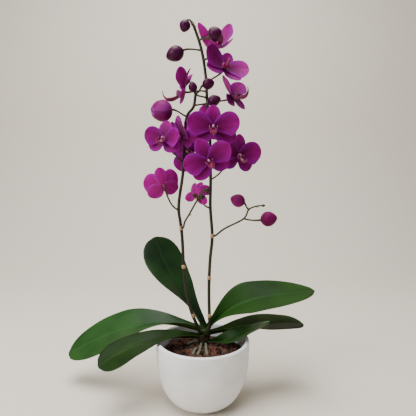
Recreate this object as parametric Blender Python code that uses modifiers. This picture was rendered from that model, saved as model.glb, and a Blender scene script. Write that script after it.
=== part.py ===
"""Potted moth orchid, modelled in metres with +Z up.

The origin is the centre of the pot's flat underside. Two flower spikes with thirteen open blooms
rise from a short stem with six thick leaves, over aerial roots on a bed of bark.
Azimuths are measured from +X towards +Y. A bloom's turn is measured from -Y towards +X.
"""

import math
import random

import bmesh
import bpy
from mathutils import Matrix, Vector

# Gap between pieces that touch
CLEAR = 0.0003

# Pot
POT_RADIUS = 0.080
POT_HEIGHT = 0.1113
POT_FOOT_RADIUS = 0.034
POT_WALL = 0.007
POT_FLOOR = 0.009
POT_STRAIGHT = 0.012
POT_SIDES = 40

# Bark
BARK_DEPTH = 0.0225
CHIP_COUNT = 30
CHIP_SIZE = (0.013, 0.008, 0.005)
BARK_TOP = POT_HEIGHT - BARK_DEPTH

# Short stem
STEM_PLACE = (0.002, 0.020)
STEM_RADIUS = 0.0062
STEM_TOP = 0.1205

# Flower spikes, from the stem to the tip
SPIKE_RADIUS = 0.0029
SPIKE_TIP_RADIUS = 0.0017
LEFT_SPIKE = ((-0.0028, 0.0134, 0.1140), (-0.0055, 0.0095, 0.118), (-0.0110, 0.0055, 0.134),
              (-0.0205, 0.0025, 0.160), (-0.0281, -0.0015, 0.193), (-0.0320, -0.0025, 0.234),
              (-0.0345, -0.0025, 0.286), (-0.0372, -0.0030, 0.311), (-0.0400, -0.0045, 0.333),
              (-0.0383, -0.0065, 0.356), (-0.0326, -0.0085, 0.393), (-0.0298, -0.0075, 0.433),
              (-0.0287, -0.0065, 0.465), (-0.0250, -0.0075, 0.489), (-0.0145, -0.0090, 0.503),
              (-0.0110, -0.0100, 0.525))
RIGHT_SPIKE = ((0.0064, 0.0140, 0.1115), (0.0094, 0.0108, 0.115), (0.0112, 0.0100, 0.126),
               (0.0120, 0.0100, 0.138), (0.0110, 0.0105, 0.175), (0.0112, 0.0092, 0.211),
               (0.0130, 0.0062, 0.249), (0.0164, 0.0035, 0.288), (0.0132, 0.0045, 0.336),
               (0.0136, 0.0042, 0.378), (0.0132, 0.0042, 0.434), (0.0110, 0.0042, 0.484),
               (0.0076, 0.0040, 0.518), (0.0055, 0.0030, 0.554), (-0.0014, 0.0015, 0.596),
               (-0.0129, 0.0000, 0.631), (-0.0190, -0.0030, 0.641))


# --- plain helpers ------------------------------------------------------------------------------

def clear_scene():
    """Start from an empty file."""
    for old in list(bpy.data.objects):
        bpy.data.objects.remove(old, do_unlink=True)


def make_material(name, colour, roughness, metallic=0.0):
    """Principled material with one colour."""
    material = bpy.data.materials.new(name)
    material.use_nodes = True
    shader = material.node_tree.nodes["Principled BSDF"]
    shader.inputs["Base Color"].default_value = (*colour, 1.0)
    shader.inputs["Roughness"].default_value = roughness
    shader.inputs["Metallic"].default_value = metallic
    material.diffuse_color = (*colour, 1.0)
    return material


def add_object(name, mesh, material, collection, angle=40.0):
    """Link a mesh as a smooth-shaded object."""
    mesh.materials.clear()
    mesh.materials.append(material)
    mesh.shade_smooth()
    mesh.set_sharp_from_angle(angle=math.radians(angle))
    obj = bpy.data.objects.new(name, mesh)
    collection.objects.link(obj)
    return obj


def baked_mesh(obj):
    """Mesh of an object as the viewport evaluates it, with its loose caps welded."""
    bpy.context.view_layer.update()
    evaluated = obj.evaluated_get(bpy.context.evaluated_depsgraph_get())
    mesh = bpy.data.meshes.new_from_object(evaluated)
    mesh.transform(obj.matrix_world)
    weld = bmesh.new()
    weld.from_mesh(mesh)
    bmesh.ops.remove_doubles(weld, verts=weld.verts, dist=0.00001)
    weld.to_mesh(mesh)
    weld.free()
    return mesh


def union_of(name, pieces, material, collection):
    """Join several closed meshes into one object with a single Boolean union."""
    scrap = bpy.data.collections.new(name + "_pieces")
    bpy.context.scene.collection.children.link(scrap)
    body = bpy.data.objects.new(name, pieces[0])
    collection.objects.link(body)
    for number, mesh in enumerate(pieces[1:]):
        scrap.objects.link(bpy.data.objects.new(f"{name}_piece_{number}", mesh))
    union = body.modifiers.new("Union", "BOOLEAN")
    union.operation = "UNION"
    union.operand_type = "COLLECTION"
    union.collection = scrap
    union.solver = "MANIFOLD"
    mesh = baked_mesh(body)
    bpy.data.objects.remove(body, do_unlink=True)
    for piece in list(scrap.objects):
        bpy.data.objects.remove(piece, do_unlink=True)
    bpy.data.collections.remove(scrap)
    return add_object(name, mesh, material, collection)


def bezier(start, first, second, end, count):
    """Points along one cubic curve."""
    points = []
    for step in range(count + 1):
        t = step / count
        s = 1.0 - t
        points.append(s ** 3 * start + 3 * s * s * t * first + 3 * s * t * t * second + t ** 3 * end)
    return points


def smooth_path(route, per_span):
    """Points of a rounded curve through every point of a route."""
    route = [Vector(point) for point in route]
    ends = [2 * route[0] - route[1]] + route + [2 * route[-1] - route[-2]]
    points = [route[0]]
    for before, start, end, after in zip(ends, ends[1:], ends[2:], ends[3:]):
        first = start + (end - before) / 6.0
        second = end - (after - start) / 6.0
        points += bezier(start, first, second, end, per_span)[1:]
    return points


def tube_mesh(points, start_radius, end_radius, resolution=1, swell=None):
    """Closed tapering tube along a row of points."""
    curve = bpy.data.curves.new("tube", "CURVE")
    curve.dimensions = "3D"
    curve.bevel_depth = start_radius
    curve.bevel_resolution = resolution
    curve.use_fill_caps = True
    spline = curve.splines.new("POLY")
    spline.points.add(len(points) - 1)
    last = len(points) - 1
    for number, point in enumerate(points):
        taper = start_radius + (end_radius - start_radius) * number / last
        if swell:
            taper *= swell[number]
        spline.points[number].co = (*point, 1.0)
        spline.points[number].radius = taper / start_radius
    obj = bpy.data.objects.new("tube", curve)
    bpy.context.scene.collection.objects.link(obj)
    mesh = baked_mesh(obj)
    bpy.data.objects.remove(obj, do_unlink=True)
    return mesh


def limb_at(points, height):
    """Place on a limb's centre line at one height, and how far along the limb it is."""
    for number, (low, high) in enumerate(zip(points, points[1:])):
        if low.z <= height <= high.z:
            share = (height - low.z) / (high.z - low.z)
            return low.lerp(high, share), (number + share) / (len(points) - 1)
    return points[-1].copy(), 1.0


def limb_seat(lines, limb, height, towards):
    """Spot just clear of a limb's side, and the direction out of it."""
    points, radius, tip_radius = lines[limb]
    if height > points[-1].z:
        out = (points[-1] - points[-2]).normalized()
        return points[-1] + out * CLEAR, out
    centre, along = limb_at(points, height)
    number = min(int(along * (len(points) - 1)), len(points) - 2)
    grain = (points[number + 1] - points[number]).normalized()
    out = Vector(towards) - centre
    out = (out - grain * out.dot(grain)).normalized()
    return centre + out * (radius + (tip_radius - radius) * along + CLEAR), out


# --- pot and bark -------------------------------------------------------------------------------

def pot_outer_radius(height, inset=0.0):
    """Radius of the bowl at a height: straight under the rim, then a quarter ellipse to the foot."""
    shoulder = POT_HEIGHT - POT_STRAIGHT
    if height >= shoulder:
        return POT_RADIUS - inset
    depth = min((shoulder - height) / shoulder, 1.0)
    reach = math.sqrt(max(1.0 - depth ** 2.35, 0.0))
    return POT_FOOT_RADIUS + (POT_RADIUS - POT_FOOT_RADIUS) * reach - inset


def turned_mesh(profile, sides):
    """Mesh of a profile turned round the Z axis with a Screw modifier."""
    mesh = bpy.data.meshes.new("profile")
    edges = [(number, number + 1) for number in range(len(profile) - 1)]
    mesh.from_pydata([(radius, 0.0, height) for radius, height in profile], edges, [])
    obj = bpy.data.objects.new("profile", mesh)
    bpy.context.scene.collection.objects.link(obj)
    screw = obj.modifiers.new("Screw", "SCREW")
    screw.steps = sides
    screw.render_steps = sides
    screw.use_merge_vertices = True
    screw.merge_threshold = 0.0001
    turned = baked_mesh(obj)
    bpy.data.objects.remove(obj, do_unlink=True)
    return turned


def bowl_curve(inset, low, high, count):
    """Wall points from a high to a low height, closer together near the foot."""
    points = []
    for step in range(count + 1):
        height = low + (high - low) * math.cos(0.5 * math.pi * step / count)
        points.append((pot_outer_radius(height, inset), height))
    return points


def pot_inner_wall():
    """Inner wall points, from the floor up to the straight part."""
    return list(reversed(bowl_curve(POT_WALL, POT_FLOOR, POT_HEIGHT - POT_STRAIGHT, 5)))


def build_pot(material, collection):
    """Round bowl with a flat foot, a thick wall and a softly rounded rim."""
    outer = bowl_curve(0.0, 0.0, POT_HEIGHT - POT_STRAIGHT, 8)
    inner = pot_inner_wall()
    rim = []
    centre = POT_RADIUS - POT_WALL / 2
    for step in range(5):
        turn = math.pi * (1.0 - step / 4)
        rim.append((centre + POT_WALL / 2 * math.cos(turn),
                    POT_HEIGHT - POT_WALL / 2 + POT_WALL / 2 * math.sin(turn)))
    profile = [(0.0, POT_FLOOR)] + inner + rim + outer + [(0.0, 0.0)]
    return add_object("pot", turned_mesh(profile, POT_SIDES), material, collection)


def bark_height(x, y):
    """Top of the bark, which is mounded a little round the stem."""
    return BARK_TOP - 0.004 * min((math.hypot(x, y) / POT_RADIUS) ** 2, 1.0)


def build_bark(material, collection, keep_clear):
    """Bark that fills the pot, with loose chips fused on top."""
    edge = bark_height(POT_RADIUS, 0.0)
    inner = [(radius - CLEAR, height + CLEAR) for radius, height in pot_inner_wall()]
    wall = [point for point in inner if point[1] < edge]
    low, high = wall[-1], inner[len(wall)]
    share = (edge - low[1]) / (high[1] - low[1])
    brim = low[0] + (high[0] - low[0]) * share
    top = [(brim * ring / 3, bark_height(brim * ring / 3, 0.0)) for ring in range(3)]
    profile = top + [(brim, edge)] + list(reversed(wall)) + [(0.0, POT_FLOOR + CLEAR)]
    pieces = [turned_mesh(profile, POT_SIDES)]
    rng = random.Random(11)
    placed = []
    while len(placed) < CHIP_COUNT:
        reach = (brim - 0.009) * math.sqrt(rng.random())
        turn = rng.uniform(0.0, 2.0 * math.pi)
        place = Vector((reach * math.cos(turn), reach * math.sin(turn)))
        spin = rng.uniform(0.0, math.pi)
        if any((place - other).length < 0.0085 for other in placed):
            continue
        if any((place - Vector(spot)).length < room for spot, room in keep_clear):
            placed.append(place)
            continue
        placed.append(place)
        chip = bmesh.new()
        bmesh.ops.create_cube(chip, size=1.0)
        tilt = Matrix.Rotation(rng.uniform(-0.4, 0.4), 4, "X") @ Matrix.Rotation(spin, 4, "Z")
        shift = Matrix.Translation((*place, bark_height(*place) + 0.0005))
        size = Matrix.Diagonal((*[side * rng.uniform(0.75, 1.1) for side in CHIP_SIZE], 1.0))
        bmesh.ops.transform(chip, matrix=shift @ tilt @ size, verts=chip.verts)
        mesh = bpy.data.meshes.new("chip")
        chip.to_mesh(mesh)
        chip.free()
        pieces.append(mesh)
    union_of("bark_bed", pieces, material, collection)


# --- stem, roots and spikes ---------------------------------------------------------------------

STEM_SWELL = (1.0, 1.06, 1.0, 1.04, 0.94)
# radius of a leaf's sheath as a share of the leaf's width, and how far below the leaf it starts
SHEATH_SHARE = 0.045
SHEATH_DROP = 0.009


def build_stem(material, collection):
    """Short stem cut flat on the bark, with the sheath of each leaf fused to it."""
    x, y = STEM_PLACE
    foot = bark_height(x, y) + CLEAR
    last = len(STEM_SWELL) - 1
    points = [Vector((x, y, foot + (STEM_TOP - foot) * step / last)) for step in range(last + 1)]
    pieces = [tube_mesh(points, STEM_RADIUS, STEM_RADIUS * 0.94, 3, STEM_SWELL)]
    for leaf in LEAVES.values():
        (place, _, upper), (following, _, _) = leaf_line(leaf, LEAF_ROWS)[:2]
        out = (following - place).normalized()
        radius = leaf["width"] * SHEATH_SHARE
        end = place - out * CLEAR + upper * radius * 0.5
        start = Vector((x, y, end.z - SHEATH_DROP))
        middle = end - out * (end - start).length * 0.4
        pieces.append(tube_mesh([start, middle, end], radius, radius, 1))
    union_of("short_stem", pieces, material, collection)


ROOT_RADIUS = 0.0027
ROOTS = {
    # name: azimuth where it leaves the stem, then its route as (x, y, lift over the bark)
    "aerial_root_left": (240, ((-0.0030, 0.0060, 0.0034), (-0.0052, -0.0080, 0.0010),
                               (-0.0088, -0.0245, 0.0))),
    "aerial_root_right": (292, ((0.0058, 0.0060, 0.0036), (0.0062, -0.0080, 0.0012),
                                (0.0078, -0.0230, 0.0))),
    "aerial_root_back": (153, ((-0.0120, 0.0262, 0.0024), (-0.0200, 0.0265, 0.0010),
                               (-0.0270, 0.0215, 0.0))),
    "aerial_root_arch": (None, ((-0.0098, -0.0060, 0.0), (-0.0110, -0.0085, 0.0044),
                                (-0.0140, -0.0150, 0.0034), (-0.0163, -0.0215, 0.0))),
}
ROOT_SEAT_LIFT = 0.0040


def build_roots(material, collection):
    """Plump silvery roots that leave the stem, or the bark, and lie on the bark."""
    for name, (azimuth, route) in ROOTS.items():
        rest = [Vector((x, y, bark_height(x, y) + ROOT_RADIUS + CLEAR + lift)) for x, y, lift in route]
        if azimuth is not None:
            turn = math.radians(azimuth)
            out = Vector((math.cos(turn), math.sin(turn), 0.0))
            level = bark_height(*STEM_PLACE) + ROOT_RADIUS + ROOT_SEAT_LIFT
            seat = Vector((*STEM_PLACE, level)) + out * (STEM_RADIUS * max(STEM_SWELL) + CLEAR)
            rest = [seat, seat + out * 0.002] + rest
        mesh = tube_mesh(smooth_path(rest, 3), ROOT_RADIUS, ROOT_RADIUS * 0.85, 1)
        add_object(name, mesh, material, collection)


def build_spikes(material, collection):
    """Two tapering flower spikes. Returns their centre lines."""
    lines = {}
    for name, route in (("spike_left", LEFT_SPIKE), ("spike_right", RIGHT_SPIKE)):
        points = smooth_path(route, 2)
        mesh = tube_mesh(points, SPIKE_RADIUS, SPIKE_TIP_RADIUS, 2)
        add_object(name, mesh, material, collection)
        lines[name] = (points, SPIKE_RADIUS, SPIKE_TIP_RADIUS)
    return lines


# --- leaves -------------------------------------------------------------------------------------

LEAF_ROWS = 11
LEAF_BASE_FOLD = 58.0
LEAVES = {
    # name: foot, azimuths, elevations, length, width, rolls, fold, widest, foot share, thickness
    "leaf_upright": dict(foot=(-0.001, 0.0255, 0.1225), azimuth=(176, 139), rise=(62, 46, 68),
                         length=0.182, width=0.078, roll=(24, 7, 30), fold=4, widest=0.66,
                         root=0.24, thick=0.0022),
    "leaf_left": dict(foot=(-0.0065, 0.0225, 0.116), azimuth=(169, 169), rise=(18, -30, -30),
                      length=0.269, width=0.078, roll=(-8, 48, 38), fold=4, widest=0.56,
                      root=0.22, thick=0.0028),
    "leaf_lower_left": dict(foot=(-0.0065, 0.0150, 0.1050), azimuth=(199, 201), rise=(16, -7, -32),
                            length=0.179, width=0.060, roll=(13, -3, 30), fold=3, widest=0.71,
                            root=0.26, thick=0.0022),
    "leaf_right": dict(foot=(0.0115, 0.0245, 0.1200), azimuth=(1, -2), rise=(53, 0, 6),
                       length=0.204, width=0.079, roll=(-47, -26, -11), fold=3, widest=0.47,
                       root=0.22, thick=0.0024),
    "leaf_lower_right": dict(foot=(0.0110, 0.0250, 0.1085), azimuth=(8, 8), rise=(8, 8, -9),
                             length=0.178, width=0.057, roll=(-3, -14, -8), fold=7, widest=0.62,
                             root=0.26, thick=0.0022),
    "leaf_small": dict(foot=(0.0092, 0.0168, 0.0985), azimuth=(-8, -46), rise=(-2, 40, 35),
                       length=0.127, width=0.040, roll=(-45, -23, -2), fold=10, widest=0.42,
                       root=0.26, thick=0.0020),
}


def blend(values, t):
    """Two or three control values blended along a leaf."""
    if len(values) == 2:
        return values[0] + (values[1] - values[0]) * t
    return values[0] * (1 - t) ** 2 + 2 * values[1] * t * (1 - t) + values[2] * t * t


def leaf_half_width(leaf, t):
    """Half the blade's width: a narrow channel at the foot, a broad blade and a blunt tip."""
    half = leaf["width"] / 2
    if t < leaf["widest"]:
        grow = math.sin(0.5 * math.pi * t / leaf["widest"]) ** 2
        return half * (leaf["root"] + (1.0 - leaf["root"]) * grow)
    past = (t - leaf["widest"]) / (1.0 - leaf["widest"])
    return half * math.sqrt(max(1.0 - past ** 2.3, 0.012))


def leaf_line(leaf, rows):
    """Midrib points with the blade's side and upper directions at each."""
    place = Vector(leaf["foot"])
    frames = []
    for row in range(rows + 1):
        t = row / rows
        azimuth = math.radians(blend(leaf["azimuth"], t))
        rise = math.radians(blend(leaf["rise"], t))
        roll = math.radians(blend(leaf["roll"], t))
        ahead = Vector((math.cos(rise) * math.cos(azimuth), math.cos(rise) * math.sin(azimuth),
                        math.sin(rise)))
        side = Vector((math.sin(azimuth), -math.cos(azimuth), 0.0))
        upper = side.cross(ahead)
        frames.append((place.copy(), side * math.cos(roll) + upper * math.sin(roll),
                       upper * math.cos(roll) - side * math.sin(roll)))
        middle = (row + 0.5) / rows
        azimuth = math.radians(blend(leaf["azimuth"], middle))
        rise = math.radians(blend(leaf["rise"], middle))
        place += Vector((math.cos(rise) * math.cos(azimuth), math.cos(rise) * math.sin(azimuth),
                         math.sin(rise))) * leaf["length"] / rows
    return frames


def solid_sheet(rows, thickness):
    """Closed thin solid from rows of points, by Solidify on the open sheet."""
    width = len(rows[0])
    points = [point for row in rows for point in row]
    faces = []
    for row in range(len(rows) - 1):
        for column in range(width - 1):
            corner = row * width + column
            faces.append((corner, corner + 1, corner + width + 1, corner + width))
    mesh = bpy.data.meshes.new("sheet")
    mesh.from_pydata(points, [], faces)
    obj = bpy.data.objects.new("sheet", mesh)
    bpy.context.scene.collection.objects.link(obj)
    shell = obj.modifiers.new("Solidify", "SOLIDIFY")
    shell.thickness = thickness
    shell.offset = 0.0
    shell.use_even_offset = False
    solid = baked_mesh(obj)
    bpy.data.objects.remove(obj, do_unlink=True)
    return solid


def build_leaves(material, collection):
    """Six thick, folded, strap-like leaves in two ranks."""
    for name, leaf in LEAVES.items():
        rows = []
        for row, (place, side, upper) in enumerate(leaf_line(leaf, LEAF_ROWS)):
            t = row / LEAF_ROWS
            half = leaf_half_width(leaf, t)
            fold = math.radians(LEAF_BASE_FOLD * (1.0 - t) ** 2.5 + leaf["fold"])
            across = []
            for share in (-1.0, -0.55, 0.0, 0.55, 1.0):
                reach = abs(share) * half
                across.append(place + side * math.copysign(reach * math.cos(fold), share)
                              + upper * reach * math.sin(fold))
            rows.append(across)
        mesh = solid_sheet(rows, leaf["thick"])
        add_object(name, mesh, material, collection, 60.0)


# --- blooms and buds ----------------------------------------------------------------------------

TEPAL_THICKNESS = 0.0012
PEDICEL_RADIUS = 0.0014
BLOOMS = {
    # name: spike, seat height, centre, turn, tilt, roll, width across the petals, cup
    "bloom_top": ("spike_right", 0.580, (0.0262, 0.0230, 0.6060), 8, 62, 0, 0.070, 34),
    "bloom_upper_right": ("spike_right", 0.545, (0.0351, -0.0200, 0.5610), 42, 30, -12, 0.076, 8),
    "bloom_left_profile": ("spike_right", 0.530, (-0.0290, 0.0060, 0.5290), -72, 2, 0, 0.076, 10),
    "bloom_right_profile": ("spike_right", 0.510, (0.0500, 0.0100, 0.5215), 68, 26, 0, 0.070, 6),
    "bloom_front": ("spike_left", 0.480, (0.0165, -0.0520, 0.4650), 0, -4, 0, 0.082, 0),
    "bloom_back": ("spike_right", 0.478, (0.0040, 0.0480, 0.4800), 176, 0, 0, 0.078, 4),
    "bloom_left": ("spike_left", 0.412, (-0.0625, -0.0450, 0.4455), -14, 8, 8, 0.070, 0),
    "bloom_left_oblique": ("spike_left", 0.450, (-0.0335, -0.0200, 0.4535), -52, -6, 4, 0.066, 2),
    "bloom_shaded": ("spike_left", 0.415, (-0.0240, 0.0260, 0.4330), -14, -10, 8, 0.074, 0),
    "bloom_low_front": ("spike_right", 0.400, (0.0090, -0.0580, 0.4125), 6, -2, 26, 0.078, 4),
    "bloom_right": ("spike_right", 0.385, (0.0570, -0.0240, 0.4230), 32, -2, -6, 0.074, 0),
    "bloom_facing_away": ("spike_left", 0.334, (-0.0654, -0.0060, 0.3745), -158, 12, 24, 0.068, 8),
    "bloom_folded": ("spike_right", 0.336, (-0.0105, 0.0020, 0.3590), 160, -6, 10, 0.042, 12),
}

# direction in the bloom's plane, then length, width and lift as shares of the bloom's width
TEPALS = (
    (90.0, 0.47, 0.33, 0.0),
    (-34.0, 0.47, 0.36, 0.0),
    (214.0, 0.47, 0.36, 0.0),
    (17.0, 0.50, 0.50, 0.034),
    (163.0, 0.50, 0.50, 0.034),
)
# place along a tepal and share of its half width there, from root to tip
TEPAL_OUTLINE = ((0.0, 0.26), (0.30, 0.82), (0.66, 1.0), (0.90, 0.74), (1.0, 0.36))


def tepal_mesh(length, width, cup, lift, direction):
    """One petal or sepal, broadest beyond its middle, with a low groove along it."""
    sheet = []
    for t, share in TEPAL_OUTLINE:
        half = 0.5 * width * share
        along = length * t
        height = lift + math.tan(math.radians(cup)) * along * t
        sheet.append([Vector((along, side * half, height + 0.06 * half * abs(side)))
                      for side in (-1.0, 0.0, 1.0)])
    mesh = solid_sheet(sheet, TEPAL_THICKNESS)
    mesh.transform(Matrix.Rotation(math.radians(direction), 4, "Z"))
    return mesh


def rounded_mesh(centre, radii, segments, rings):
    """Squashed ball."""
    ball = bmesh.new()
    scale = Matrix.Translation(centre) @ Matrix.Diagonal((*radii, 1.0))
    bmesh.ops.create_uvsphere(ball, u_segments=segments, v_segments=rings, radius=1.0, matrix=scale)
    mesh = bpy.data.meshes.new("ball")
    ball.to_mesh(mesh)
    ball.free()
    return mesh


def bloom_frame(centre, turn, tilt, roll):
    """Matrix whose +Z faces out of the bloom and whose +Y points to its top sepal."""
    spin = Matrix.Rotation(math.radians(turn), 4, "Z")
    face = Matrix.Rotation(math.radians(90.0 - tilt), 4, "X")
    lean = Matrix.Rotation(math.radians(roll), 4, "Z")
    return Matrix.Translation(centre) @ spin @ face @ lean


def bloom_pieces(frame, width, cup):
    """Tepals, lip and column of one bloom, in place."""
    unit = width / 0.08
    core = (0.0048 * unit, 0.0048 * unit, 0.0042 * unit)
    pieces = [rounded_mesh((0.0, 0.0, 0.0008 * unit), core, 6, 4)]
    for direction, length, breadth, lift in TEPALS:
        pieces.append(tepal_mesh(width * length, width * breadth, cup, width * lift, direction))
    column = [Vector((0.0, 0.0, 0.0)), Vector((0.0, 0.002, 0.006)) * unit,
              Vector((0.0, 0.001, 0.0115)) * unit]
    pieces.append(tube_mesh(column, 0.0028 * unit, 0.0024 * unit, 0))
    lip = [Vector((0.0, -0.001, 0.001)) * unit, Vector((0.0, -0.007, 0.009)) * unit,
           Vector((0.0, -0.013, 0.017)) * unit, Vector((0.0, -0.012, 0.025)) * unit]
    pieces.append(tube_mesh(lip, 0.0026 * unit, 0.0013 * unit, 0, (1.0, 1.9, 2.0, 0.6)))
    for piece in pieces:
        piece.transform(frame)
    return pieces


def stalk_mesh(seat, out, end, arrive, radius=PEDICEL_RADIUS):
    """Flower stalk that leaves its seat squarely and curves to the bloom's back."""
    span = (end - seat).length
    first = seat + (out + Vector((0.0, 0.0, 0.35))).normalized() * span * 0.35
    points = bezier(seat, first, end - arrive * span * 0.35, end, 4)
    points.insert(1, seat + out * 0.0016)
    return tube_mesh(points, radius, radius, 0)


def build_blooms(material, collection, lines):
    """Thirteen open blooms, each fused to its stalk."""
    for name, (spike, height, centre, turn, tilt, roll, width, cup) in BLOOMS.items():
        frame = bloom_frame(centre, turn, tilt, roll)
        pieces = bloom_pieces(frame, width, cup)
        seat, out = limb_seat(lines, spike, height, centre)
        facing = frame.to_3x3() @ Vector((0.0, 0.0, 1.0))
        pieces.append(stalk_mesh(seat, out, Vector(centre), facing))
        union_of(name, pieces, material, collection)


TWIG_RADIUS = 0.0018
TWIG_TIP_RADIUS = 0.0013
TWIGS = {
    # name: spike, seat height, route after the seat
    "twig_low_left": ("spike_left", 0.3037,
                      ((-0.0292, -0.0130, 0.3150), (-0.0228, -0.0170, 0.3259),
                       (-0.0089, -0.0250, 0.3507), (0.0020, -0.0300, 0.3675),
                       (0.0062, -0.0315, 0.3685))),
    "twig_low_right": ("spike_right", 0.2890,
                       ((0.0376, 0.0000, 0.3016), (0.0687, -0.0060, 0.3187),
                        (0.0771, -0.0080, 0.3343), (0.0890, -0.0100, 0.3400),
                        (0.1003, -0.0120, 0.3412))),
}
TWIG_BUDS = {
    # twig: small buds fused to it, as (fork on the route, centre, length, width, tip direction)
    "twig_low_left": ((4, (0.0072, -0.0318, 0.3668), 0.0085, 0.0080, (0.6, -0.3, -1.0)),
                      (2, (-0.0005, -0.0275, 0.3561), 0.0095, 0.0090, (1.0, -0.2, 0.1)),
                      (2, (-0.0135, -0.0240, 0.3590), 0.0075, 0.0060, (-0.5, 0.0, 1.0))),
    "twig_low_right": ((4, (0.1010, -0.0121, 0.3413), 0.0060, 0.0046, (1.0, 0.0, 0.2)),),
}
BUDS = {
    # name: limb, seat height, centre, length, width, direction of the tip
    "bud_top_left": ("spike_right", 0.650, (-0.0285, -0.0050, 0.6320), 0.0185, 0.0160,
                     (-0.3, -0.1, -1.0)),
    "bud_top_front": ("spike_right", 0.610, (0.0197, -0.0340, 0.6098), 0.0205, 0.0205,
                      (0.8, -0.5, 0.3)),
    "bud_upper_left": ("spike_right", 0.596, (-0.0452, 0.0000, 0.5895), 0.0285, 0.0225,
                       (-1.0, 0.0, -0.45)),
    "bud_middle_left": ("spike_right", 0.519, (-0.0155, -0.0235, 0.5316), 0.0160, 0.0125,
                        (-0.3, -0.3, 0.9)),
    "bud_middle": ("spike_left", 0.5245, (0.0095, -0.0180, 0.5376), 0.0185, 0.0160,
                   (1.0, -0.3, 0.2)),
    "bud_middle_right": ("spike_left", 0.505, (0.0186, -0.0260, 0.5096), 0.0205, 0.0160,
                         (1.0, -0.2, 0.35)),
    "bud_opening_left": ("spike_left", 0.487, (-0.0663, -0.0120, 0.4960), 0.0330, 0.0310,
                         (-1.0, -0.4, -0.2)),
    "bud_low_upper": ("twig_low_right", 0.3343, (0.0585, -0.0060, 0.3495), 0.0235, 0.0195,
                      (-1.0, 0.0, 0.35)),
    "bud_low_right": ("twig_low_right", 0.3190, (0.1105, -0.0100, 0.3190), 0.0260, 0.0225,
                      (1.0, 0.0, 0.15)),
}


def bud_mesh(centre, length, width, towards):
    """Plump ovoid bud with a blunt tip."""
    turn = Vector(towards).to_track_quat("Z", "Y").to_matrix().to_4x4()
    segments, rings = (6, 4) if length < 0.012 else (10, 6)
    mesh = rounded_mesh((0.0, 0.0, 0.0), (width / 2, width / 2 * 0.92, length / 2), segments, rings)
    mesh.transform(Matrix.Translation(centre) @ turn)
    return mesh


def build_twigs(material, collection, lines):
    """Two low side twigs with their smallest buds. Adds their centre lines to the limbs."""
    for name, (spike, height, route) in TWIGS.items():
        seat, out = limb_seat(lines, spike, height, route[0])
        points = [seat] + smooth_path((seat + out * 0.003, *route), 2)
        pieces = [tube_mesh(points, TWIG_RADIUS, TWIG_TIP_RADIUS, 1)]
        for fork, centre, length, width, towards in TWIG_BUDS[name]:
            centre = Vector(centre)
            tip = Vector(towards).normalized()
            foot = Vector(route[fork])
            end = centre - tip * length * 0.3
            if (end - foot).length > 0.004:
                ahead = (end - foot).normalized()
                stalk = stalk_mesh(foot - ahead * 0.0006, ahead, end, tip, TWIG_TIP_RADIUS * 0.8)
                pieces.append(stalk)
            pieces.append(bud_mesh(centre, length, width, towards))
        union_of(name, pieces, material, collection)
        lines[name] = (points, TWIG_RADIUS, TWIG_TIP_RADIUS)


def build_buds(material, collection, lines):
    """Closed buds, each fused to its stalk."""
    for name, (limb, height, centre, length, width, towards) in BUDS.items():
        centre = Vector(centre)
        tip = Vector(towards).normalized()
        seat, out = limb_seat(lines, limb, height, centre)
        pieces = [bud_mesh(centre, length, width, towards),
                  stalk_mesh(seat, out, centre - tip * length * 0.3, tip)]
        union_of(name, pieces, material, collection)


# --- assembly -----------------------------------------------------------------------------------

def main():
    clear_scene()
    plant = bpy.data.collections.new("Potted moth orchid")
    bpy.context.scene.collection.children.link(plant)

    pot = make_material("Matte white ceramic", (0.78, 0.78, 0.76), 0.45)
    bark = make_material("Pine bark", (0.19, 0.085, 0.05), 0.9)
    stem = make_material("Old leaf sheath", (0.10, 0.085, 0.035), 0.75)
    root = make_material("Silvery root", (0.22, 0.24, 0.15), 0.8)
    spike = make_material("Dark green spike", (0.045, 0.055, 0.025), 0.5)
    leaf = make_material("Thick green leaf", (0.06, 0.16, 0.045), 0.45)
    petal = make_material("Magenta petal", (0.36, 0.003, 0.33), 0.5)
    bud = make_material("Dark plum bud", (0.12, 0.006, 0.08), 0.5)

    x, y = STEM_PLACE
    keep_clear = [((x, y), 0.018)]
    for azimuth, route in ROOTS.values():
        keep_clear += [(point[:2], 0.012) for point in route]

    build_pot(pot, plant)
    build_stem(stem, plant)
    build_roots(root, plant)
    build_bark(bark, plant, keep_clear)
    lines = build_spikes(spike, plant)
    build_leaves(leaf, plant)
    build_blooms(petal, plant, lines)
    build_twigs(spike, plant, lines)
    build_buds(bud, plant, lines)


main()
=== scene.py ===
"""Looks of a potted moth orchid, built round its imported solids.

Thirteen magenta blooms and their buds stand on two arching flower spikes, over six thick strap leaves,
silvery aerial roots and pine bark in a round matte white bowl.
Azimuths are measured from +X towards +Y. A bloom's turn is measured from -Y towards +X.
"""

import math
import random

import bmesh
import bpy
import numpy as np
from bpy.props import FloatProperty, FloatVectorProperty, IntProperty, PointerProperty
from mathutils import Matrix, Vector, noise


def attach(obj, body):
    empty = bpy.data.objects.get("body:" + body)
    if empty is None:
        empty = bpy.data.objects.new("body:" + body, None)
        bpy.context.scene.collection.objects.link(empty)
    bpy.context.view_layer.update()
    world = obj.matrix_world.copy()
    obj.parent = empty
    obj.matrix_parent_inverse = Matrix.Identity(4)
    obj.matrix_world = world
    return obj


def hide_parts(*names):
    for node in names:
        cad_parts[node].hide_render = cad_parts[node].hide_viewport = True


bl_info = {
    "name": "Potted moth orchid",
    "version": (1, 0, 0),
    "blender": (4, 5, 0),
    "location": "3D View > Sidebar > Orchid",
    "description": "Builds a moth orchid with two flower spikes in a round ceramic bowl",
    "category": "Add Mesh",
}

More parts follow.
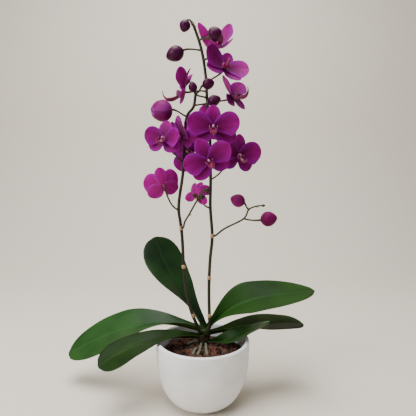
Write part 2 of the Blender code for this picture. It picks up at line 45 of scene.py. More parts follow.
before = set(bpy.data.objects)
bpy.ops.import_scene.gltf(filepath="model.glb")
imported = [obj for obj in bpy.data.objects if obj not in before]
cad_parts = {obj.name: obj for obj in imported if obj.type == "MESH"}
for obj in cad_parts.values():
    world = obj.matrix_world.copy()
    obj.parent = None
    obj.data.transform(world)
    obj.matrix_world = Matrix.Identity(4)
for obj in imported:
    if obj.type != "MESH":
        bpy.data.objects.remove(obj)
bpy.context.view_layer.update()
BODY = "root"

# --- plain helpers ------------------------------------------------------------------------------


def linear(code):
    """Linear RGBA of an sRGB hex colour. A colour that is linear already passes through."""
    if not isinstance(code, str):
        return tuple(code)
    channels = [int(code[start:start + 2], 16) / 255.0 for start in (1, 3, 5)]
    return (*[c / 12.92 if c <= 0.04045 else ((c + 0.055) / 1.055) ** 2.4 for c in channels], 1.0)


def length(name, description, default):
    """Property for one length in metres."""
    return FloatProperty(name=name, description=description, default=default, min=0.0,
                         precision=4, unit="LENGTH", subtype="DISTANCE")


def colour(name, description, code):
    """Property for one colour, with its default as sRGB hex."""
    return FloatVectorProperty(name=name, description=description, size=4, min=0.0, max=1.0,
                               subtype="COLOR", default=linear(code))


def add_node(tree, kind, settings=None, links=None):
    """Add a node, set its fields and fill its inputs with values or links.

    A ramp's stops are given as (place, colour), each colour as sRGB hex or as linear RGBA.
    """
    node = tree.nodes.new(kind)
    for field, value in (settings or {}).items():
        if field != "stops":
            setattr(node, field, value)
            continue
        ramp = node.color_ramp
        while len(ramp.elements) < len(value):
            ramp.elements.new(0.5)
        for stop, (place, shade) in zip(ramp.elements, value):
            stop.position = place
            stop.color = linear(shade)
    for name, value in (links or {}).items():
        socket = node.inputs[name]
        if isinstance(value, bpy.types.NodeSocket):
            tree.links.new(value, socket)
        else:
            socket.default_value = value
    return node


def new_material(name, **constants):
    """Empty Principled material with some constant values. Returns it, its tree and its shader."""
    material = bpy.data.materials.new(name)
    material.use_nodes = True
    shader = material.node_tree.nodes["Principled BSDF"]
    for socket, value in constants.items():
        shader.inputs[socket.replace("_", " ")].default_value = value
    return material, material.node_tree, shader


def bezier(start, first, second, end, count):
    """Points along one cubic curve."""
    points = []
    for step in range(count + 1):
        t = step / count
        s = 1.0 - t
        points.append(s ** 3 * start + 3 * s * s * t * first + 3 * s * t * t * second + t ** 3 * end)
    return points


def smooth_path(route, per_span):
    """Points of a rounded curve through every point of a route."""
    route = [Vector(point) for point in route]
    ends = [2 * route[0] - route[1]] + route + [2 * route[-1] - route[-2]]
    points = [route[0]]
    for before, start, end, after in zip(ends, ends[1:], ends[2:], ends[3:]):
        first = start + (end - before) / 6.0
        second = end - (after - start) / 6.0
        points += bezier(start, first, second, end, per_span)[1:]
    return points


def bulge(distance, width):
    """Smooth rise that is 1 in its middle and fades out over a width."""
    return math.exp(-(distance / width) ** 2)


def eased_shares(count):
    """Places from -1 to 1 across a blade, closer together near its edges."""
    return [math.sin(0.5 * math.pi * (2.0 * number / (count - 1) - 1.0)) for number in range(count)]


def blend(values, t):
    """Two or three control values blended along a leaf."""
    if len(values) == 2:
        return values[0] + (values[1] - values[0]) * t
    return values[0] * (1 - t) ** 2 + 2 * values[1] * t * (1 - t) + values[2] * t * t


def sheet(rows, columns, spot):
    """Points of a surface, from a rule for the share along it (0 to 1) and across it (-1 to 1)."""
    shares = [2.0 * column / (columns - 1) - 1.0 for column in range(columns)]
    return [[list(spot(row / (rows - 1), across)) for across in shares] for row in range(rows)]


class Form:
    """Collects the faces of one piece, with a UV place and a material slot for each face."""

    def __init__(self):
        self.points = []
        self.faces = []
        self.places = []
        self.slots = []

    def add_face(self, corners, places, slot):
        self.faces.append(corners)
        self.places.append(places)
        self.slots.append(slot)

    def blade(self, grid, half_thickness, slots=(0, 1)):
        """Thin closed form on a grid of middle points, with its upper and lower face in two slots."""
        grid = np.array(grid, float)
        rows, columns = grid.shape[:2]
        half = np.full((rows, columns), half_thickness, float)
        across = np.gradient(grid, axis=1)
        along = np.gradient(grid, axis=0)
        normal = np.cross(across, along)
        normal /= np.maximum(np.linalg.norm(normal, axis=2, keepdims=True), 1e-12)
        half[0], half[-1], half[:, 0], half[:, -1] = 0.0, 0.0, 0.0, 0.0
        first = len(self.points)
        upper = np.arange(rows * columns).reshape(rows, columns) + first
        self.points += (grid + normal * half[..., None]).reshape(-1, 3).tolist()
        lower = upper.copy()
        inner = grid - normal * half[..., None]
        for row in range(1, rows - 1):
            for column in range(1, columns - 1):
                lower[row, column] = len(self.points)
                self.points.append(inner[row, column].tolist())
        for row in range(rows - 1):
            for column in range(columns - 1):
                ring = ((row, column), (row, column + 1), (row + 1, column + 1), (row + 1, column))
                places = [(c / (columns - 1), r / (rows - 1)) for r, c in ring]
                self.add_face([int(upper[spot]) for spot in ring], places, slots[0])
                self.add_face([int(lower[spot]) for spot in reversed(ring)], places[::-1], slots[1])

    def tube(self, points, radii, sides=12, slot=0, shape=None):
        """Closed round form along a row of points, with a radius for each or a rule from 0 to 1.

        A shape rule may vary it round and along.
        """
        points = [Vector(point) for point in points]
        last = len(points) - 1
        if callable(radii):
            radii = [radii(number / last) for number in range(last + 1)]
        first = len(self.points)
        normal = None
        for number, point in enumerate(points):
            ahead = (points[min(number + 1, last)] - points[max(number - 1, 0)]).normalized()
            if normal is None:
                normal = ahead.orthogonal().normalized()
            normal = (normal - ahead * normal.dot(ahead)).normalized()
            side = ahead.cross(normal)
            for step in range(sides):
                turn = 2.0 * math.pi * step / sides
                reach = radii[number] * (shape(number / last, turn) if shape else 1.0)
                spot = point + (normal * math.cos(turn) + side * math.sin(turn)) * reach
                self.points.append(list(spot))
        for number in range(last):
            for step in range(sides):
                following = (step + 1) % sides
                low, high = first + number * sides, first + (number + 1) * sides
                places = [(u / sides, v / last) for u, v in ((step, number), (step + 1, number),
                                                             (step + 1, number + 1), (step, number + 1))]
                self.add_face([low + step, low + following, high + following, high + step], places, slot)
        for ring, end, v in ((0, points[0], 0.0), (last, points[-1], 1.0)):
            pole = len(self.points)
            self.points.append(list(end))
            base = first + ring * sides
            for step in range(sides):
                corners = [base + step, base + (step + 1) % sides, pole]
                places = [(step / sides, v), ((step + 1) / sides, v), ((step + 0.5) / sides, v)]
                if ring == 0:
                    corners.reverse()
                    places.reverse()
                self.add_face(corners, places, slot)

    def move(self, matrix):
        """Move everything collected from a bloom's own frame into the plant."""
        self.points = [list(matrix @ Vector(point)) for point in self.points]

    def finish(self, name, materials, slot, *nodes):
        """Make one smooth piece of everything collected, and hang it on the plant."""
        mesh = bpy.data.meshes.new(name)
        mesh.from_pydata(self.points, [], self.faces)
        uv_map = mesh.uv_layers.new(name="UVMap")
        flat = [value for places in self.places for place in places for value in place]
        uv_map.data.foreach_set("uv", flat)
        mesh.polygons.foreach_set("material_index", self.slots)
        for material in materials:
            mesh.materials.append(material)
        mesh.shade_smooth()
        mesh.update()
        finish_piece(link(name, mesh), slot, *nodes)


def link(name, mesh):
    """Object of a finished mesh, in the scene."""
    piece = bpy.data.objects.new(name, mesh)
    bpy.context.scene.collection.objects.link(piece)
    return piece


def finish_piece(piece, slot, *nodes):
    """Let a piece ride on the plant's body and stand for its nodes. Its slot is not used."""
    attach(piece, BODY)
    if nodes:
        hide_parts(*nodes)


# --- the plant's own layout, in metres ----------------------------------------------------------

UP = Vector((0.0, 0.0, 1.0))
# gap between pieces that touch
CLEAR = 0.0003

POT_RADIUS = 0.080
POT_HEIGHT = 0.1113
POT_FOOT_RADIUS = 0.034
POT_WALL = 0.007
POT_FLOOR = 0.009
# the bowl's side is straight over this height under its rim
POT_STRAIGHT = 0.012
# and then curves in to its foot. 2 would make that stretch a quarter ellipse, and more is fuller
POT_FULLNESS = 2.35
BARK_TOP = POT_HEIGHT - 0.0225
# how much lower the bark lies at the bowl's wall than in its middle
BARK_MOUND = 0.004

# where the short stem stands in the bowl
STEM_PLACE = (0.002, 0.020)
STEM_RADIUS = 0.0062
STEM_TOP = 0.1205

SPIKE_RADIUS = 0.0029
SPIKE_TIP_RADIUS = 0.0023
# routes of the spikes, from just over the stem to the tip
LEFT_SPIKE = ((-0.0028, 0.0134, 0.1140), (-0.0055, 0.0095, 0.118), (-0.0110, 0.0055, 0.134),
              (-0.0205, 0.0025, 0.160), (-0.0281, -0.0015, 0.193), (-0.0320, -0.0025, 0.234),
              (-0.0345, -0.0025, 0.286), (-0.0372, -0.0030, 0.311), (-0.0400, -0.0045, 0.333),
              (-0.0383, -0.0065, 0.356), (-0.0326, -0.0085, 0.393), (-0.0298, -0.0075, 0.433),
              (-0.0287, -0.0065, 0.465), (-0.0250, -0.0075, 0.489), (-0.0145, -0.0090, 0.503),
              (-0.0110, -0.0100, 0.525))
RIGHT_SPIKE = ((0.0064, 0.0140, 0.1115), (0.0094, 0.0108, 0.115), (0.0112, 0.0100, 0.126),
               (0.0120, 0.0100, 0.138), (0.0110, 0.0105, 0.175), (0.0112, 0.0092, 0.211),
               (0.0130, 0.0062, 0.249), (0.0164, 0.0035, 0.288), (0.0132, 0.0045, 0.336),
               (0.0136, 0.0042, 0.378), (0.0132, 0.0042, 0.434), (0.0110, 0.0042, 0.484),
               (0.0076, 0.0040, 0.518), (0.0055, 0.0030, 0.554), (-0.0014, 0.0015, 0.596),
               (-0.0129, 0.0000, 0.631), (-0.0190, -0.0030, 0.641))
SPIKES = {"spike_left": LEFT_SPIKE, "spike_right": RIGHT_SPIKE}
# heights of the bare nodes on a spike, each wrapped in a pale bract
SPIKE_BRACTS = {"spike_left": (0.146, 0.2330, 0.2990), "spike_right": (0.143, 0.2110, 0.2850)}

# unopened nubs at a spike's tip, as (centre, length, direction of the tip)
SPIKE_NUBS = {"spike_right": (((-0.0158, -0.0040, 0.6350), 0.0062, (0.5, -0.3, -0.8)),
                              ((-0.0128, -0.0030, 0.6322), 0.0050, (0.9, -0.2, -0.3)))}

ROOT_RADIUS = 0.0027
ROOTS = {
    # name: azimuth where it leaves the stem, and its route as (x, y, lift over the bark)
    "aerial_root_left": (240, ((-0.0030, 0.0060, 0.0034), (-0.0052, -0.0080, 0.0010),
                               (-0.0088, -0.0245, 0.0))),
    "aerial_root_right": (292, ((0.0058, 0.0060, 0.0036), (0.0062, -0.0080, 0.0012),
                                (0.0078, -0.0230, 0.0))),
    "aerial_root_back": (153, ((-0.0120, 0.0262, 0.0024), (-0.0200, 0.0265, 0.0010),
                               (-0.0270, 0.0215, 0.0))),
    "aerial_root_arch": (None, ((-0.0098, -0.0060, 0.0), (-0.0110, -0.0085, 0.0044),
                                (-0.0140, -0.0150, 0.0034), (-0.0163, -0.0215, 0.0))),
}
# how far over the bark a root leaves the stem
ROOT_SEAT_LIFT = 0.0040
# how far the ends of the root that rises out of the bark go back down into it
ROOT_DIVE = Vector((0.0, 0.0, 0.003))
ROOT_END = Vector((0.0, 0.001, 0.004))

# angle at which each half of a leaf folds up at its foot, in degrees
LEAF_BASE_FOLD = 58.0
LEAVES = {
    # azimuth, rise and roll change along a leaf, from its foot to its tip. Widest is where along it the
    # blade is widest, and root is the share of that width at its foot
    "leaf_upright": dict(foot=(-0.001, 0.0255, 0.1225), azimuth=(176, 139), rise=(62, 46, 68),
                         length=0.182, width=0.078, roll=(24, 7, 30), fold=4, widest=0.66,
                         root=0.24, thick=0.0022),
    "leaf_left": dict(foot=(-0.0065, 0.0225, 0.116), azimuth=(169, 169), rise=(18, -30, -30),
                      length=0.269, width=0.078, roll=(-8, 48, 38), fold=4, widest=0.56,
                      root=0.22, thick=0.0028),
    "leaf_lower_left": dict(foot=(-0.0065, 0.0150, 0.1050), azimuth=(199, 201), rise=(16, -7, -32),
                            length=0.179, width=0.060, roll=(13, -3, 30), fold=3, widest=0.71,
                            root=0.26, thick=0.0022),
    "leaf_right": dict(foot=(0.0115, 0.0245, 0.1200), azimuth=(1, -2), rise=(53, 0, 6),
                       length=0.204, width=0.079, roll=(-47, -26, -11), fold=3, widest=0.47,
                       root=0.22, thick=0.0024),
    "leaf_lower_right": dict(foot=(0.0110, 0.0250, 0.1085), azimuth=(8, 8), rise=(8, 8, -9),
                             length=0.178, width=0.057, roll=(-3, -14, -8), fold=7, widest=0.62,
                             root=0.26, thick=0.0022),
    "leaf_small": dict(foot=(0.0092, 0.0168, 0.0985), azimuth=(-8, -46), rise=(-2, 40, 35),
                       length=0.127, width=0.040, roll=(-45, -23, -2), fold=10, widest=0.42,
                       root=0.26, thick=0.0020),
}

BLOOMS = {
    # name: spike, seat height, centre, turn, tilt, roll, width across the petals, cup
    "bloom_top": ("spike_right", 0.580, (0.0250, -0.0020, 0.5985), 8, 62, 25, 0.070, 34),
    "bloom_upper_right": ("spike_right", 0.545, (0.0351, -0.0200, 0.5610), 20, 30, -23, 0.076, 8),
    "bloom_left_profile": ("spike_right", 0.530, (-0.0290, 0.0060, 0.5290), -86, 2, 0, 0.076, 10),
    "bloom_right_profile": ("spike_right", 0.510, (0.0500, 0.0100, 0.5215), 56, 26, 0, 0.070, 6),
    "bloom_front": ("spike_left", 0.480, (0.0165, -0.0520, 0.4650), 0, -4, 0, 0.082, 0),
    "bloom_back": ("spike_right", 0.478, (0.0040, 0.0480, 0.4800), 176, 0, 0, 0.078, 4),
    "bloom_left": ("spike_left", 0.412, (-0.0595, -0.0450, 0.4475), -22, 8, -6, 0.070, 0),
    "bloom_left_oblique": ("spike_left", 0.450, (-0.0335, -0.0200, 0.4535), -52, -6, 12, 0.066, 2),
    "bloom_shaded": ("spike_left", 0.415, (-0.0240, 0.0260, 0.4330), -14, -10, 80, 0.074, 0),
    "bloom_low_front": ("spike_right", 0.400, (0.0090, -0.0580, 0.4125), 6, -2, 26, 0.078, 4),
    "bloom_right": ("spike_right", 0.385, (0.0570, -0.0240, 0.4230), 32, -2, -6, 0.074, 0),
    "bloom_facing_away": ("spike_left", 0.334, (-0.0654, -0.0060, 0.3745), -158, 12, -14, 0.068, 8),
    "bloom_folded": ("spike_right", 0.336, (-0.0105, 0.0020, 0.3590), 160, -6, 10, 0.042, 12),
}
# how a bloom's tepals stand, in degrees: the petals' rise, cup and forward fold, how much more the right
# petal cups (lean) and less it folds (ease), and the cup of the top sepal and of the lower two. Then, as
# shares of the usual: the size of all tepals, of the top sepal and of the lower two, how wide the petals
# look, the lip's size and how far it curls up
HABIT = dict(rise=-7, cup=8, fold=0, lean=0, ease=0, top=0, low=0, size=1, upper=1, lower=1, slim=0.94,
             lip=1, curl=0)
# where a bloom differs from that
HABITS = {
    "bloom_top": dict(rise=14, cup=9, fold=60, ease=36, top=-10, low=2, lower=0.72, slim=0.85),
    "bloom_upper_right": dict(rise=1.5, cup=9, lean=-7, top=4, low=4, size=1.04, upper=0.86, lower=0.88),
    "bloom_left_profile": dict(rise=42, cup=-11, fold=50, lean=13, top=-18, low=10, size=1.10,
                               lower=0.66, slim=0.62, lip=1.45, curl=1),
    "bloom_right_profile": dict(rise=24, cup=12, fold=30, size=1.18, lower=0.85, slim=0.8, lip=1.35,
                                curl=1),
    "bloom_front": dict(rise=-3, slim=0.84, upper=0.86),
    "bloom_left": dict(cup=18, size=0.88, slim=0.80),
    "bloom_left_oblique": dict(rise=10, cup=12, lean=14, low=6, size=1.12, slim=1.22),
    "bloom_shaded": dict(rise=0),
    "bloom_low_front": dict(rise=-2, cup=10, lean=15, low=-7, slim=0.82, lower=0.92),
    "bloom_right": dict(rise=4, cup=20, lean=4.5),
    "bloom_facing_away": dict(rise=6, top=8, low=8, size=0.93),
    "bloom_folded": dict(rise=30, cup=22, fold=30, top=20, size=1.15),
}
PEDICEL_RADIUS = 0.0014
# direction in the bloom's plane, then length, width and lift as shares of the bloom's width
SEPALS = ((90.0, 0.47, 0.33, 0.0), (-29.0, 0.47, 0.40, 0.0), (209.0, 0.47, 0.40, 0.0))
PETALS = ((17.0, 0.50, 0.50, 0.0204), (163.0, 0.50, 0.50, 0.0204))

TWIG_RADIUS = 0.0018
TWIG_TIP_RADIUS = 0.0013
TWIGS = {
    # name: spike, seat height, route after the seat
    "twig_low_left": ("spike_left", 0.3037,
                      ((-0.0292, -0.0130, 0.3150), (-0.0228, -0.0170, 0.3259),
                       (-0.0089, -0.0250, 0.3507), (0.0020, -0.0300, 0.3675),
                       (0.0062, -0.0315, 0.3685))),
    "twig_low_right": ("spike_right", 0.2890,
                       ((0.0376, 0.0000, 0.3016), (0.0687, -0.0060, 0.3187),
                        (0.0771, -0.0080, 0.3343), (0.0890, -0.0100, 0.3400),
                        (0.1003, -0.0120, 0.3412))),
}
TWIG_BUDS = {
    # twig: small buds on it, as (fork on the route, centre, length, width, tip direction)
    "twig_low_left": ((4, (0.0072, -0.0318, 0.3668), 0.0085, 0.0080, (0.6, -0.3, -1.0)),
                      (2, (-0.0005, -0.0275, 0.3561), 0.0095, 0.0090, (1.0, -0.2, 0.1)),
                      (2, (-0.0135, -0.0240, 0.3590), 0.0075, 0.0060, (-0.5, 0.0, 1.0))),
    "twig_low_right": ((4, (0.1010, -0.0121, 0.3413), 0.0060, 0.0046, (1.0, 0.0, 0.2)),),
}
BUDS = {
    # name: limb, seat height, centre, length, width, direction of the tip
    "bud_top_left": ("spike_right", 0.650, (-0.0285, -0.0050, 0.6320), 0.0185, 0.0160,
                     (-0.3, -0.1, -1.0)),
    "bud_top_front": ("spike_right", 0.610, (0.0197, -0.0340, 0.6098), 0.0205, 0.0205,
                      (0.8, -0.5, 0.3)),
    "bud_upper_left": ("spike_right", 0.596, (-0.0452, 0.0000, 0.5895), 0.0285, 0.0225,
                       (-1.0, 0.0, -0.45)),
    "bud_middle_left": ("spike_right", 0.519, (-0.0155, -0.0235, 0.5316), 0.0160, 0.0125,
                        (-0.3, -0.3, 0.9)),
    "bud_middle": ("spike_left", 0.5245, (0.0095, -0.0180, 0.5376), 0.0185, 0.0160,
                   (1.0, -0.3, 0.2)),
    "bud_middle_right": ("spike_left", 0.505, (0.0186, -0.0260, 0.5096), 0.0205, 0.0160,
                         (1.0, -0.2, 0.35)),
    "bud_opening_left": ("spike_left", 0.487, (-0.0663, -0.0120, 0.4960), 0.0330, 0.0310,
                         (-1.0, -0.4, -0.2)),
    "bud_low_upper": ("twig_low_right", 0.3343, (0.0585, -0.0060, 0.3495), 0.0235, 0.0195,
                      (-1.0, 0.0, 0.35)),
    "bud_low_right": ("twig_low_right", 0.3190, (0.1105, -0.0100, 0.3190), 0.0260, 0.0225,
                      (1.0, 0.0, 0.15)),
}
OPENING_BUD = "bud_opening_left"
# a living bud stands a little fuller than its plain solid
BUD_LENGTHENING = 1.06
BUD_FULLNESS = 1.14


def spike_radius(along):
    """Radius of a flower spike, from 0 at its foot to 1 at its tip."""
    return SPIKE_RADIUS + (SPIKE_TIP_RADIUS - SPIKE_RADIUS) * along


def limb_at(points, height):
    """Place on a limb's centre line at one height, and how far along the limb it is."""
    for number, (low, high) in enumerate(zip(points, points[1:])):
        if low.z <= height <= high.z:
            share = (height - low.z) / (high.z - low.z)
            return low.lerp(high, share), (number + share) / (len(points) - 1)
    return points[-1].copy(), 1.0


def limb_seat(lines, limb, height, towards):
    """Spot just clear of a limb's side, the direction out of it and the limb's own direction."""
    points, radius, tip_radius = lines[limb]
    if height > points[-1].z:
        out = (points[-1] - points[-2]).normalized()
        return points[-1] + out * CLEAR, out, out
    centre, along = limb_at(points, height)
    number = min(int(along * (len(points) - 1)), len(points) - 2)
    grain = (points[number + 1] - points[number]).normalized()
    out = Vector(towards) - centre
    out = (out - grain * out.dot(grain)).normalized()
    return centre + out * (radius + (tip_radius - radius) * along + CLEAR), out, grain


def limb_lines():
    """Centre line, foot radius and tip radius of each spike and twig."""
    lines = {}
    for name, route in SPIKES.items():
        lines[name] = (smooth_path(route, 2), SPIKE_RADIUS, SPIKE_TIP_RADIUS)
    for name, (spike, height, route) in TWIGS.items():
        seat, out, _ = limb_seat(lines, spike, height, route[0])
        points = [seat] + smooth_path((seat + out * 0.003, *route), 2)
        lines[name] = (points, TWIG_RADIUS, TWIG_TIP_RADIUS)
    return lines


def bract(form, centre, grain, out, radius, reach, spread, slot):
    """Thin pointed scale that wraps a stalk's side."""
    side = grain.cross(out)

    def spot(t, u):
        turn = spread * math.sqrt(max(1.0 - t ** 1.6, 0.004)) * u
        flare = radius * (1.02 + 0.28 * t)
        return centre + grain * reach * t + (out * math.cos(turn) + side * math.sin(turn)) * flare

    form.blade(sheet(7, 9, spot), 0.00025, (slot, slot))


# --- materials ----------------------------------------------------------------------------------

NOTHING = (0.0, 0.0, 0.0, 1.0)
WHITE = (1.0, 1.0, 1.0, 1.0)


def grey(share):
    """Neutral colour that stands for a share in a ramp."""
    return (share, share, share, 1.0)


def blade_axes(tree):
    """UV place on a blade or a tube, and how far that is across and along it, each from 0 to 1."""
    spot = add_node(tree, "ShaderNodeTexCoord").outputs["UV"]
    axes = add_node(tree, "ShaderNodeSeparateXYZ", links={0: spot})
    return spot, axes.outputs["X"], axes.outputs["Y"]


def off_middle(tree, across):
    """Distance from a blade's midrib, from 0 to 0.5 of its width."""
    middle = add_node(tree, "ShaderNodeMath", {"operation": "SUBTRACT"}, {0: across, 1: 0.5})
    return add_node(tree, "ShaderNodeMath", {"operation": "ABSOLUTE"}, {0: middle.outputs[0]}).outputs[0]


def cover(tree, shader, tint, height, strength, depth):
    """Give a shader its colour, and a relief with its depth in metres."""
    bump = add_node(tree, "ShaderNodeBump", links={"Strength": strength, "Distance": depth,
                                                   "Height": height})
    tree.links.new(tint, shader.inputs["Base Color"])
    tree.links.new(bump.outputs["Normal"], shader.inputs["Normal"])


def ceramic_material(glaze):
    """Earthenware under a matte off-white glaze: soft broad highlights and a faint uneven bloom."""
    material, tree, shader = new_material("Matte glazed earthenware", Roughness=0.42, IOR=1.5)
    place = add_node(tree, "ShaderNodeTexCoord").outputs["Object"]
    # the glaze clouds over about 40 mm and carries specks about 1 mm wide
    cloud = add_node(tree, "ShaderNodeTexNoise", links={"Vector": place, "Scale": 25.0, "Detail": 3.0})
    speck = add_node(tree, "ShaderNodeTexNoise", links={"Vector": place, "Scale": 700.0, "Detail": 2.0})
    shade = [channel * 0.90 for channel in glaze[:3]] + [1.0]
    tint = add_node(tree, "ShaderNodeValToRGB", {"stops": ((0.35, shade), (0.65, glaze))},
                    {"Fac": cloud.outputs["Fac"]})
    dust = add_node(tree, "ShaderNodeValToRGB", {"stops": ((0.24, "#B9B2A6"), (0.31, WHITE))},
                    {"Fac": speck.outputs["Fac"]})
    dusted = add_node(tree, "ShaderNodeMix", {"data_type": "RGBA", "blend_type": "MULTIPLY"},
                      {0: 0.5, 6: tint.outputs["Color"], 7: dust.outputs["Color"]})
    cover(tree, shader, dusted.outputs[2], speck.outputs["Fac"], 0.12, 0.0004)
    return material


def bark_material(name, dark, light):
    """Chopped pine bark: rough and flaky, with no shine, and paler along broken edges."""
    material, tree, shader = new_material(name, Roughness=0.9)
    place = add_node(tree, "ShaderNodeTexCoord").outputs["Object"]
    # flakes lie about 2 mm apart
    flake = add_node(tree, "ShaderNodeTexNoise", links={"Vector": place, "Scale": 450.0, "Detail": 4.0})
    tint = add_node(tree, "ShaderNodeValToRGB", {"stops": ((0.35, dark), (0.68, light))},
                    {"Fac": flake.outputs["Fac"]})
    cover(tree, shader, tint.outputs["Color"], flake.outputs["Fac"], 0.8, 0.0008)
    return material


def stalk_material(name, low, high, streak, roughness=0.45, gloss=0.3):
    """Skin grown along a stalk: one tone runs into another, under fine streaks. Wax gives it a sheen."""
    material, tree, shader = new_material(name, Roughness=roughness, Specular_IOR_Level=gloss)
    _, _, along = blade_axes(tree)
    tint = add_node(tree, "ShaderNodeValToRGB", {"stops": ((0.1, low), (0.9, high))}, {"Fac": along})
    place = add_node(tree, "ShaderNodeTexCoord").outputs["Object"]
    # streaks about 1 mm wide and 20 mm long
    drawn = add_node(tree, "ShaderNodeMapping", links={"Vector": place, "Scale": (700.0, 700.0, 60.0)})
    fleck = add_node(tree, "ShaderNodeTexNoise", links={"Vector": drawn.outputs["Vector"], "Scale": 1.0,
                                                        "Detail": 3.0})
    share = add_node(tree, "ShaderNodeValToRGB", {"stops": ((0.42, NOTHING), (0.72, WHITE))},
                     {"Fac": fleck.outputs["Fac"]})
    streaked = add_node(tree, "ShaderNodeMix", {"data_type": "RGBA"},
                        {0: share.outputs["Color"], 6: tint.outputs["Color"], 7: linear(streak)})
    cover(tree, shader, streaked.outputs[2], fleck.outputs["Fac"], 0.25, 0.0003)
    return material


def leaf_material(name, body, dark, rib, roughness, gloss):
    """Leathery leaf under a waxy cuticle: fine parallel veins, a sunk midrib and a pale margin."""
    material, tree, shader = new_material(name, Roughness=roughness, Specular_IOR_Level=gloss)
    spot, across, _ = blade_axes(tree)
    place = add_node(tree, "ShaderNodeTexCoord").outputs["Object"]
    # the tone drifts over about 60 mm
    drift = add_node(tree, "ShaderNodeTexNoise", links={"Vector": place, "Scale": 16.0, "Detail": 2.0})
    tint = add_node(tree, "ShaderNodeValToRGB", {"stops": ((0.36, dark), (0.62, body))},
                    {"Fac": drift.outputs["Fac"]})
    # parallel veins about 1.2 mm apart on a blade 70 mm wide
    lines = add_node(tree, "ShaderNodeMapping", links={"Vector": spot, "Scale": (58.0, 2.0, 1.0)})
    vein = add_node(tree, "ShaderNodeTexNoise", links={"Vector": lines.outputs["Vector"], "Scale": 1.0,
                                                       "Detail": 2.0})
    veined = add_node(tree, "ShaderNodeMix", {"data_type": "RGBA", "blend_type": "MULTIPLY"},
                      {0: 0.35, 6: tint.outputs["Color"], 7: vein.outputs["Color"]})
    ribs = add_node(tree, "ShaderNodeValToRGB",
                    {"stops": ((0.0, grey(0.24)), (0.008, grey(0.14)), (0.022, NOTHING),
                               (0.482, NOTHING), (0.497, grey(0.36)))},
                    {"Fac": off_middle(tree, across)})
    ribbed = add_node(tree, "ShaderNodeMix", {"data_type": "RGBA"},
                      {0: ribs.outputs["Color"], 6: veined.outputs[2], 7: linear(rib)})
    cover(tree, shader, ribbed.outputs[2], vein.outputs["Fac"], 0.2, 0.0004)
    return material


def petal_material(name, heart, body, edge, vein, roughness=0.5):
    """Velvety petal: no gloss, deep at the heart, with veins that fan out, and a brighter rim and tip
    that are painted light shining through the thin margin.
    """
    material, tree, shader = new_material(name, Roughness=roughness, Specular_IOR_Level=0.07)
    spot, across, along = blade_axes(tree)
    # the tip turns to the rim colour: a painted glow of light through the thin tip
    tint = add_node(tree, "ShaderNodeValToRGB",
                    {"stops": ((0.0, heart), (0.62, body), (0.90, body), (1.0, edge))}, {"Fac": along})
    # a band along both margins takes the rim colour: painted light shining through the thin edges
    rim = add_node(tree, "ShaderNodeValToRGB",
                   {"stops": ((0.12, NOTHING), (0.43, grey(0.35)), (0.49, grey(0.9)))},
                   {"Fac": off_middle(tree, across)})
    painted_rim_light = add_node(tree, "ShaderNodeMix", {"data_type": "RGBA"},
                      {0: rim.outputs["Color"], 6: tint.outputs["Color"], 7: linear(edge)})
    # veins about 2 mm apart at the petal's widest
    lines = add_node(tree, "ShaderNodeMapping", links={"Vector": spot, "Scale": (20.0, 1.6, 1.0)})
    thread = add_node(tree, "ShaderNodeTexNoise", links={"Vector": lines.outputs["Vector"],
                                                         "Scale": 1.0, "Detail": 3.0, "Distortion": 0.4})
    share = add_node(tree, "ShaderNodeValToRGB", {"stops": ((0.50, NOTHING), (0.66, grey(0.4)))},
                     {"Fac": thread.outputs["Fac"]})
    veined = add_node(tree, "ShaderNodeMix", {"data_type": "RGBA"},
                      {0: share.outputs["Color"], 6: painted_rim_light.outputs[2], 7: linear(vein)})
    cover(tree, shader, veined.outputs[2], thread.outputs["Fac"], 0.3, 0.0005)
    return material


def plain_tissue(name, base, freckle):
    """Fleshy flower tissue that glows a little, with soft freckles about 1 mm apart."""
    material, tree, shader = new_material(name, Roughness=0.4, Subsurface_Weight=0.1,
                                          Subsurface_Scale=0.001)
    place = add_node(tree, "ShaderNodeTexCoord").outputs["Object"]
    fleck = add_node(tree, "ShaderNodeTexNoise", links={"Vector": place, "Scale": 900.0, "Detail": 2.0})
    tint = add_node(tree, "ShaderNodeValToRGB", {"stops": ((0.40, base), (0.70, freckle))},
                    {"Fac": fleck.outputs["Fac"]})
    tree.links.new(tint.outputs["Color"], shader.inputs["Base Color"])
    return material


# --- settings -----------------------------------------------------------------------------------

class OrchidPotSettings(bpy.types.PropertyGroup):
    """Bowl and the bark in it."""
    radius: length("Rim radius", "Outer radius of the bowl at its rim", POT_RADIUS)
    height: length("Height", "Height of the bowl", POT_HEIGHT)
    foot_radius: length("Foot radius", "Radius of the flat foot", POT_FOOT_RADIUS)
    wall: length("Wall", "Thickness of the wall", POT_WALL)
    glaze: colour("Glaze", "Colour of the matte glaze", "#EFEEED")
    chip_length: length("Chip length", "Length of a large chip of bark", 0.014)
    chip_count: IntProperty(name="Chips", description="Number of chips in each shade of bark",
                            default=85, min=1)


class OrchidStalkSettings(bpy.types.PropertyGroup):
    """Flower spikes, twigs and aerial roots."""
    bract_length: length("Bract length", "Length of the pale bract at a bare node", 0.0075)
    low: colour("Foot", "Colour of a spike at its foot", "#1C1B0B")
    high: colour("Top", "Colour of a spike at its top", "#160C08")
    root: colour("Root", "Colour of a dry aerial root", "#4E5242")


class OrchidLeafSettings(bpy.types.PropertyGroup):
    """Leaf blades."""
    under: colour("Underside", "Colour of a leaf's underside", "#3A521E")


class OrchidBloomSettings(bpy.types.PropertyGroup):
    """Open blooms and buds."""
    petal: colour("Petal", "Main colour of the petals", "#800067")
    heart: colour("Heart", "Colour of the petals near the column", "#42002C")
    # the rim colour is painted light: petal margins brightened as if light shone through them
    edge: colour("Rim", "Colour of the petals' rim", "#A000B6")
    lip: colour("Lip", "Colour of the lip", "#66003A")
    bud: colour("Bud", "Colour of a closed bud", "#3A0028")


